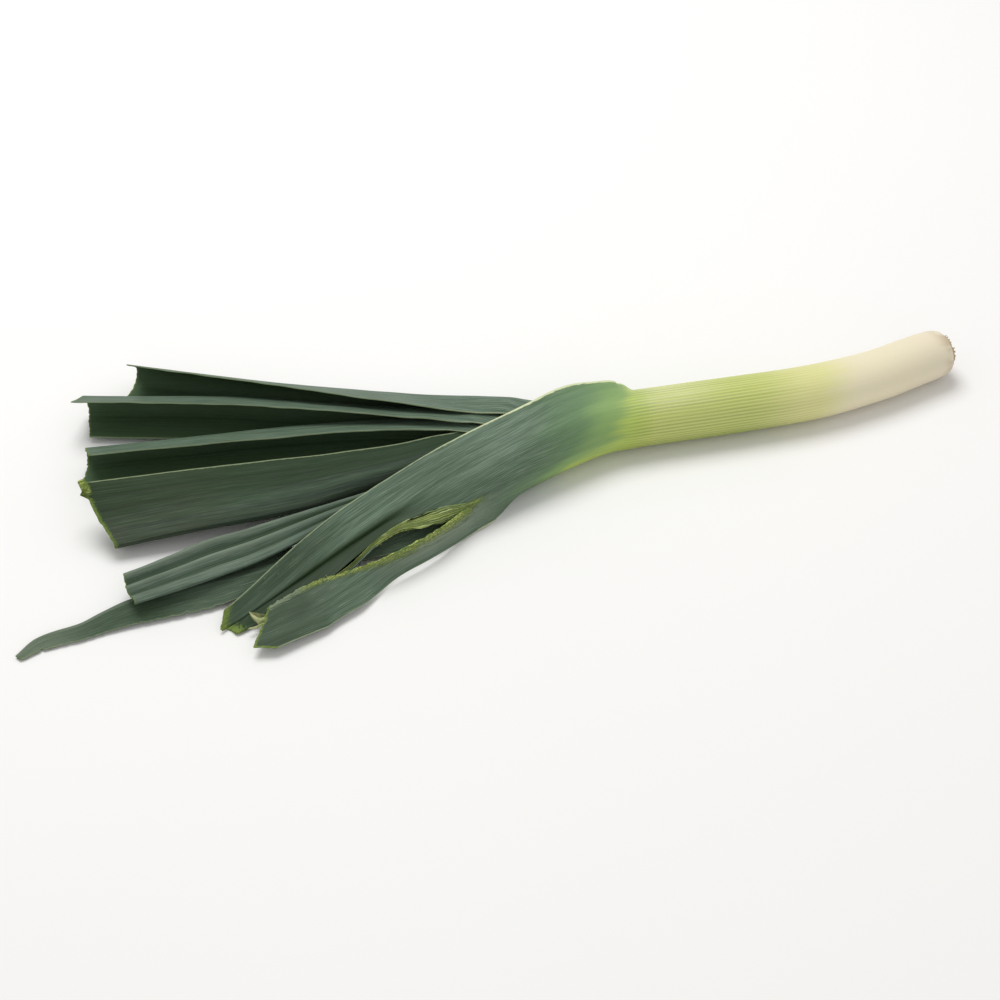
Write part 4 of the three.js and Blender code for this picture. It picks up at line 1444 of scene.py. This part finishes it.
def fibre_mesh(blade, own):
    """Loose fibres: thin cones that stand off the torn edges."""
    rng = random.Random(own.seed)
    bm, grain, dryness = tissue_mesh()
    for n in range(own.fibres):
        u = rng.uniform(blade.tear + 4, blade.end - 4)
        sign = -1 if rng.random() < 0.65 else 1
        foot, inward = blade.spot(u, 0.0, sign)[0], blade.spot(u, sign * 0.15, sign)[0]
        away = (foot - inward).normalized()
        run = (blade.torn if sign < 0 else blade.main).run(u)
        aim = (run * rng.uniform(-1.6, 1.6) + away * rng.uniform(0.1, 0.7)).normalized()
        length = own.fibre_length / MM * rng.uniform(0.35, 1)
        made = bmesh.ops.create_cone(
            bm, cap_ends=True, segments=5, radius1=0.22, radius2=0.05, depth=length
        )["verts"]
        point_along(bm, made, aim, foot - away * 0.5 + aim * length * 0.42)
        for v in made:
            v[grain] = Vector((n, n * 0.7, u))
            v[dryness] = rng.uniform(0, 0.5)
    bmesh.ops.recalc_face_normals(bm, faces=bm.faces[:])
    return bm


# ---- floor, lamps and camera ----


class LEEK_OT_studio(bpy.types.Operator):
    """Makes the plain pale floor, the soft lamps and the camera"""

    bl_idname = "leek.studio"
    bl_label = "Make Studio"

    def execute(self, context):
        own = context.scene.leek_studio
        scene = context.scene
        bm = bmesh.new()
        bmesh.ops.create_grid(bm, x_segments=1, y_segments=1, size=FLOOR_REACH)
        mesh = bpy.data.meshes.new("floor")
        bm.to_mesh(mesh)
        bm.free()
        mesh.materials.append(floor_material(own))
        stage_object(scene, "floor", mesh)

        for (name, place, size), watts in zip(LAMPS, (own.key, own.fill)):
            light = bpy.data.lights.new(name, "AREA")
            light.shape, light.size, light.energy = "DISK", size, watts
            lamp = stage_object(scene, name, light)
            lamp.location = place
            lamp.rotation_euler = (-Vector(place)).to_track_quat("-Z", "Y").to_euler()

        world = bpy.data.worlds.new("Sky")
        world.use_nodes = True
        back = world.node_tree.nodes["Background"]
        back.inputs["Color"].default_value = (1.0, 1.0, 1.0, 1)
        back.inputs["Strength"].default_value = own.sky
        scene.world = world
        scene.view_settings.view_transform = "Standard"

        camera = bpy.data.cameras.new("camera")
        camera.lens, camera.sensor_width = own.lens, 36
        camera.clip_start, camera.clip_end = 0.05, 30
        eye = stage_object(scene, "camera", camera)
        back_off = Vector((0, -math.cos(own.elevation), math.sin(own.elevation)))
        eye.location = SHIFT * MM + back_off * own.distance
        eye.rotation_euler = (math.pi / 2 - own.elevation, 0, 0)
        scene.camera = eye
        return {"FINISHED"}


def stage_object(scene, name, data):
    """A new object in the scene that isn't part of the leek."""
    thing = bpy.data.objects.new(name, data)
    scene.collection.objects.link(thing)
    return thing


def floor_material(own):
    """A dull, nearly even floor."""
    material, net, shader = new_material("Floor")
    cloud = net.noise(net.node("TexCoord").outputs["Object"], 3.0)
    shade = tuple(c * 0.985 for c in own.floor)
    net.feed(shader.inputs["Base Color"], net.blend(cloud, own.floor, shade))
    shader.inputs["Roughness"].default_value = 0.8
    shader.inputs["Specular IOR Level"].default_value = 0.1
    return material


# ---- panel and registration ----

# [title, name of the settings on the scene, the settings' class, the operator's class]
PARTS = [
    ("Skin", "leek_skin", LeekSkinSettings, None),
    ("Shank", "leek_shank", LeekShankSettings, LEEK_OT_shank),
    ("Roots", "leek_roots", LeekRootSettings, LEEK_OT_roots),
    ("Leaves", "leek_leaves", LeekLeafSettings, LEEK_OT_leaves),
    ("Torn Tissue", "leek_tear", LeekTearSettings, LEEK_OT_torn_tissue),
    ("Studio", "leek_studio", LeekStudioSettings, LEEK_OT_studio),
]


class LEEK_PT_panel(bpy.types.Panel):
    """Lists the leek's pieces with their sizes and colours"""

    bl_idname = "LEEK_PT_panel"
    bl_label = "Leek"
    bl_space_type = "VIEW_3D"
    bl_region_type = "UI"
    bl_category = "Leek"

    def draw(self, context):
        for title, name, settings, operator in PARTS:
            box = self.layout.box()
            box.label(text=title)
            for key in settings.__annotations__:
                box.prop(getattr(context.scene, name), key)
            if operator:
                box.operator(operator.bl_idname)


def register():
    for _, name, settings, operator in PARTS:
        bpy.utils.register_class(settings)
        setattr(bpy.types.Scene, name, PointerProperty(type=settings))
        if operator:
            bpy.utils.register_class(operator)
    bpy.utils.register_class(LEEK_PT_panel)


def unregister():
    bpy.utils.unregister_class(LEEK_PT_panel)
    for _, name, settings, operator in reversed(PARTS):
        if operator:
            bpy.utils.unregister_class(operator)
        delattr(bpy.types.Scene, name)
        bpy.utils.unregister_class(settings)


def main():
    """Registers the classes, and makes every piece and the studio."""
    register()
    bpy.ops.leek.shank()
    bpy.ops.leek.roots()
    bpy.ops.leek.leaves()
    bpy.ops.leek.torn_tissue()
    bpy.ops.leek.studio()


if __name__ == "__main__":
    main()
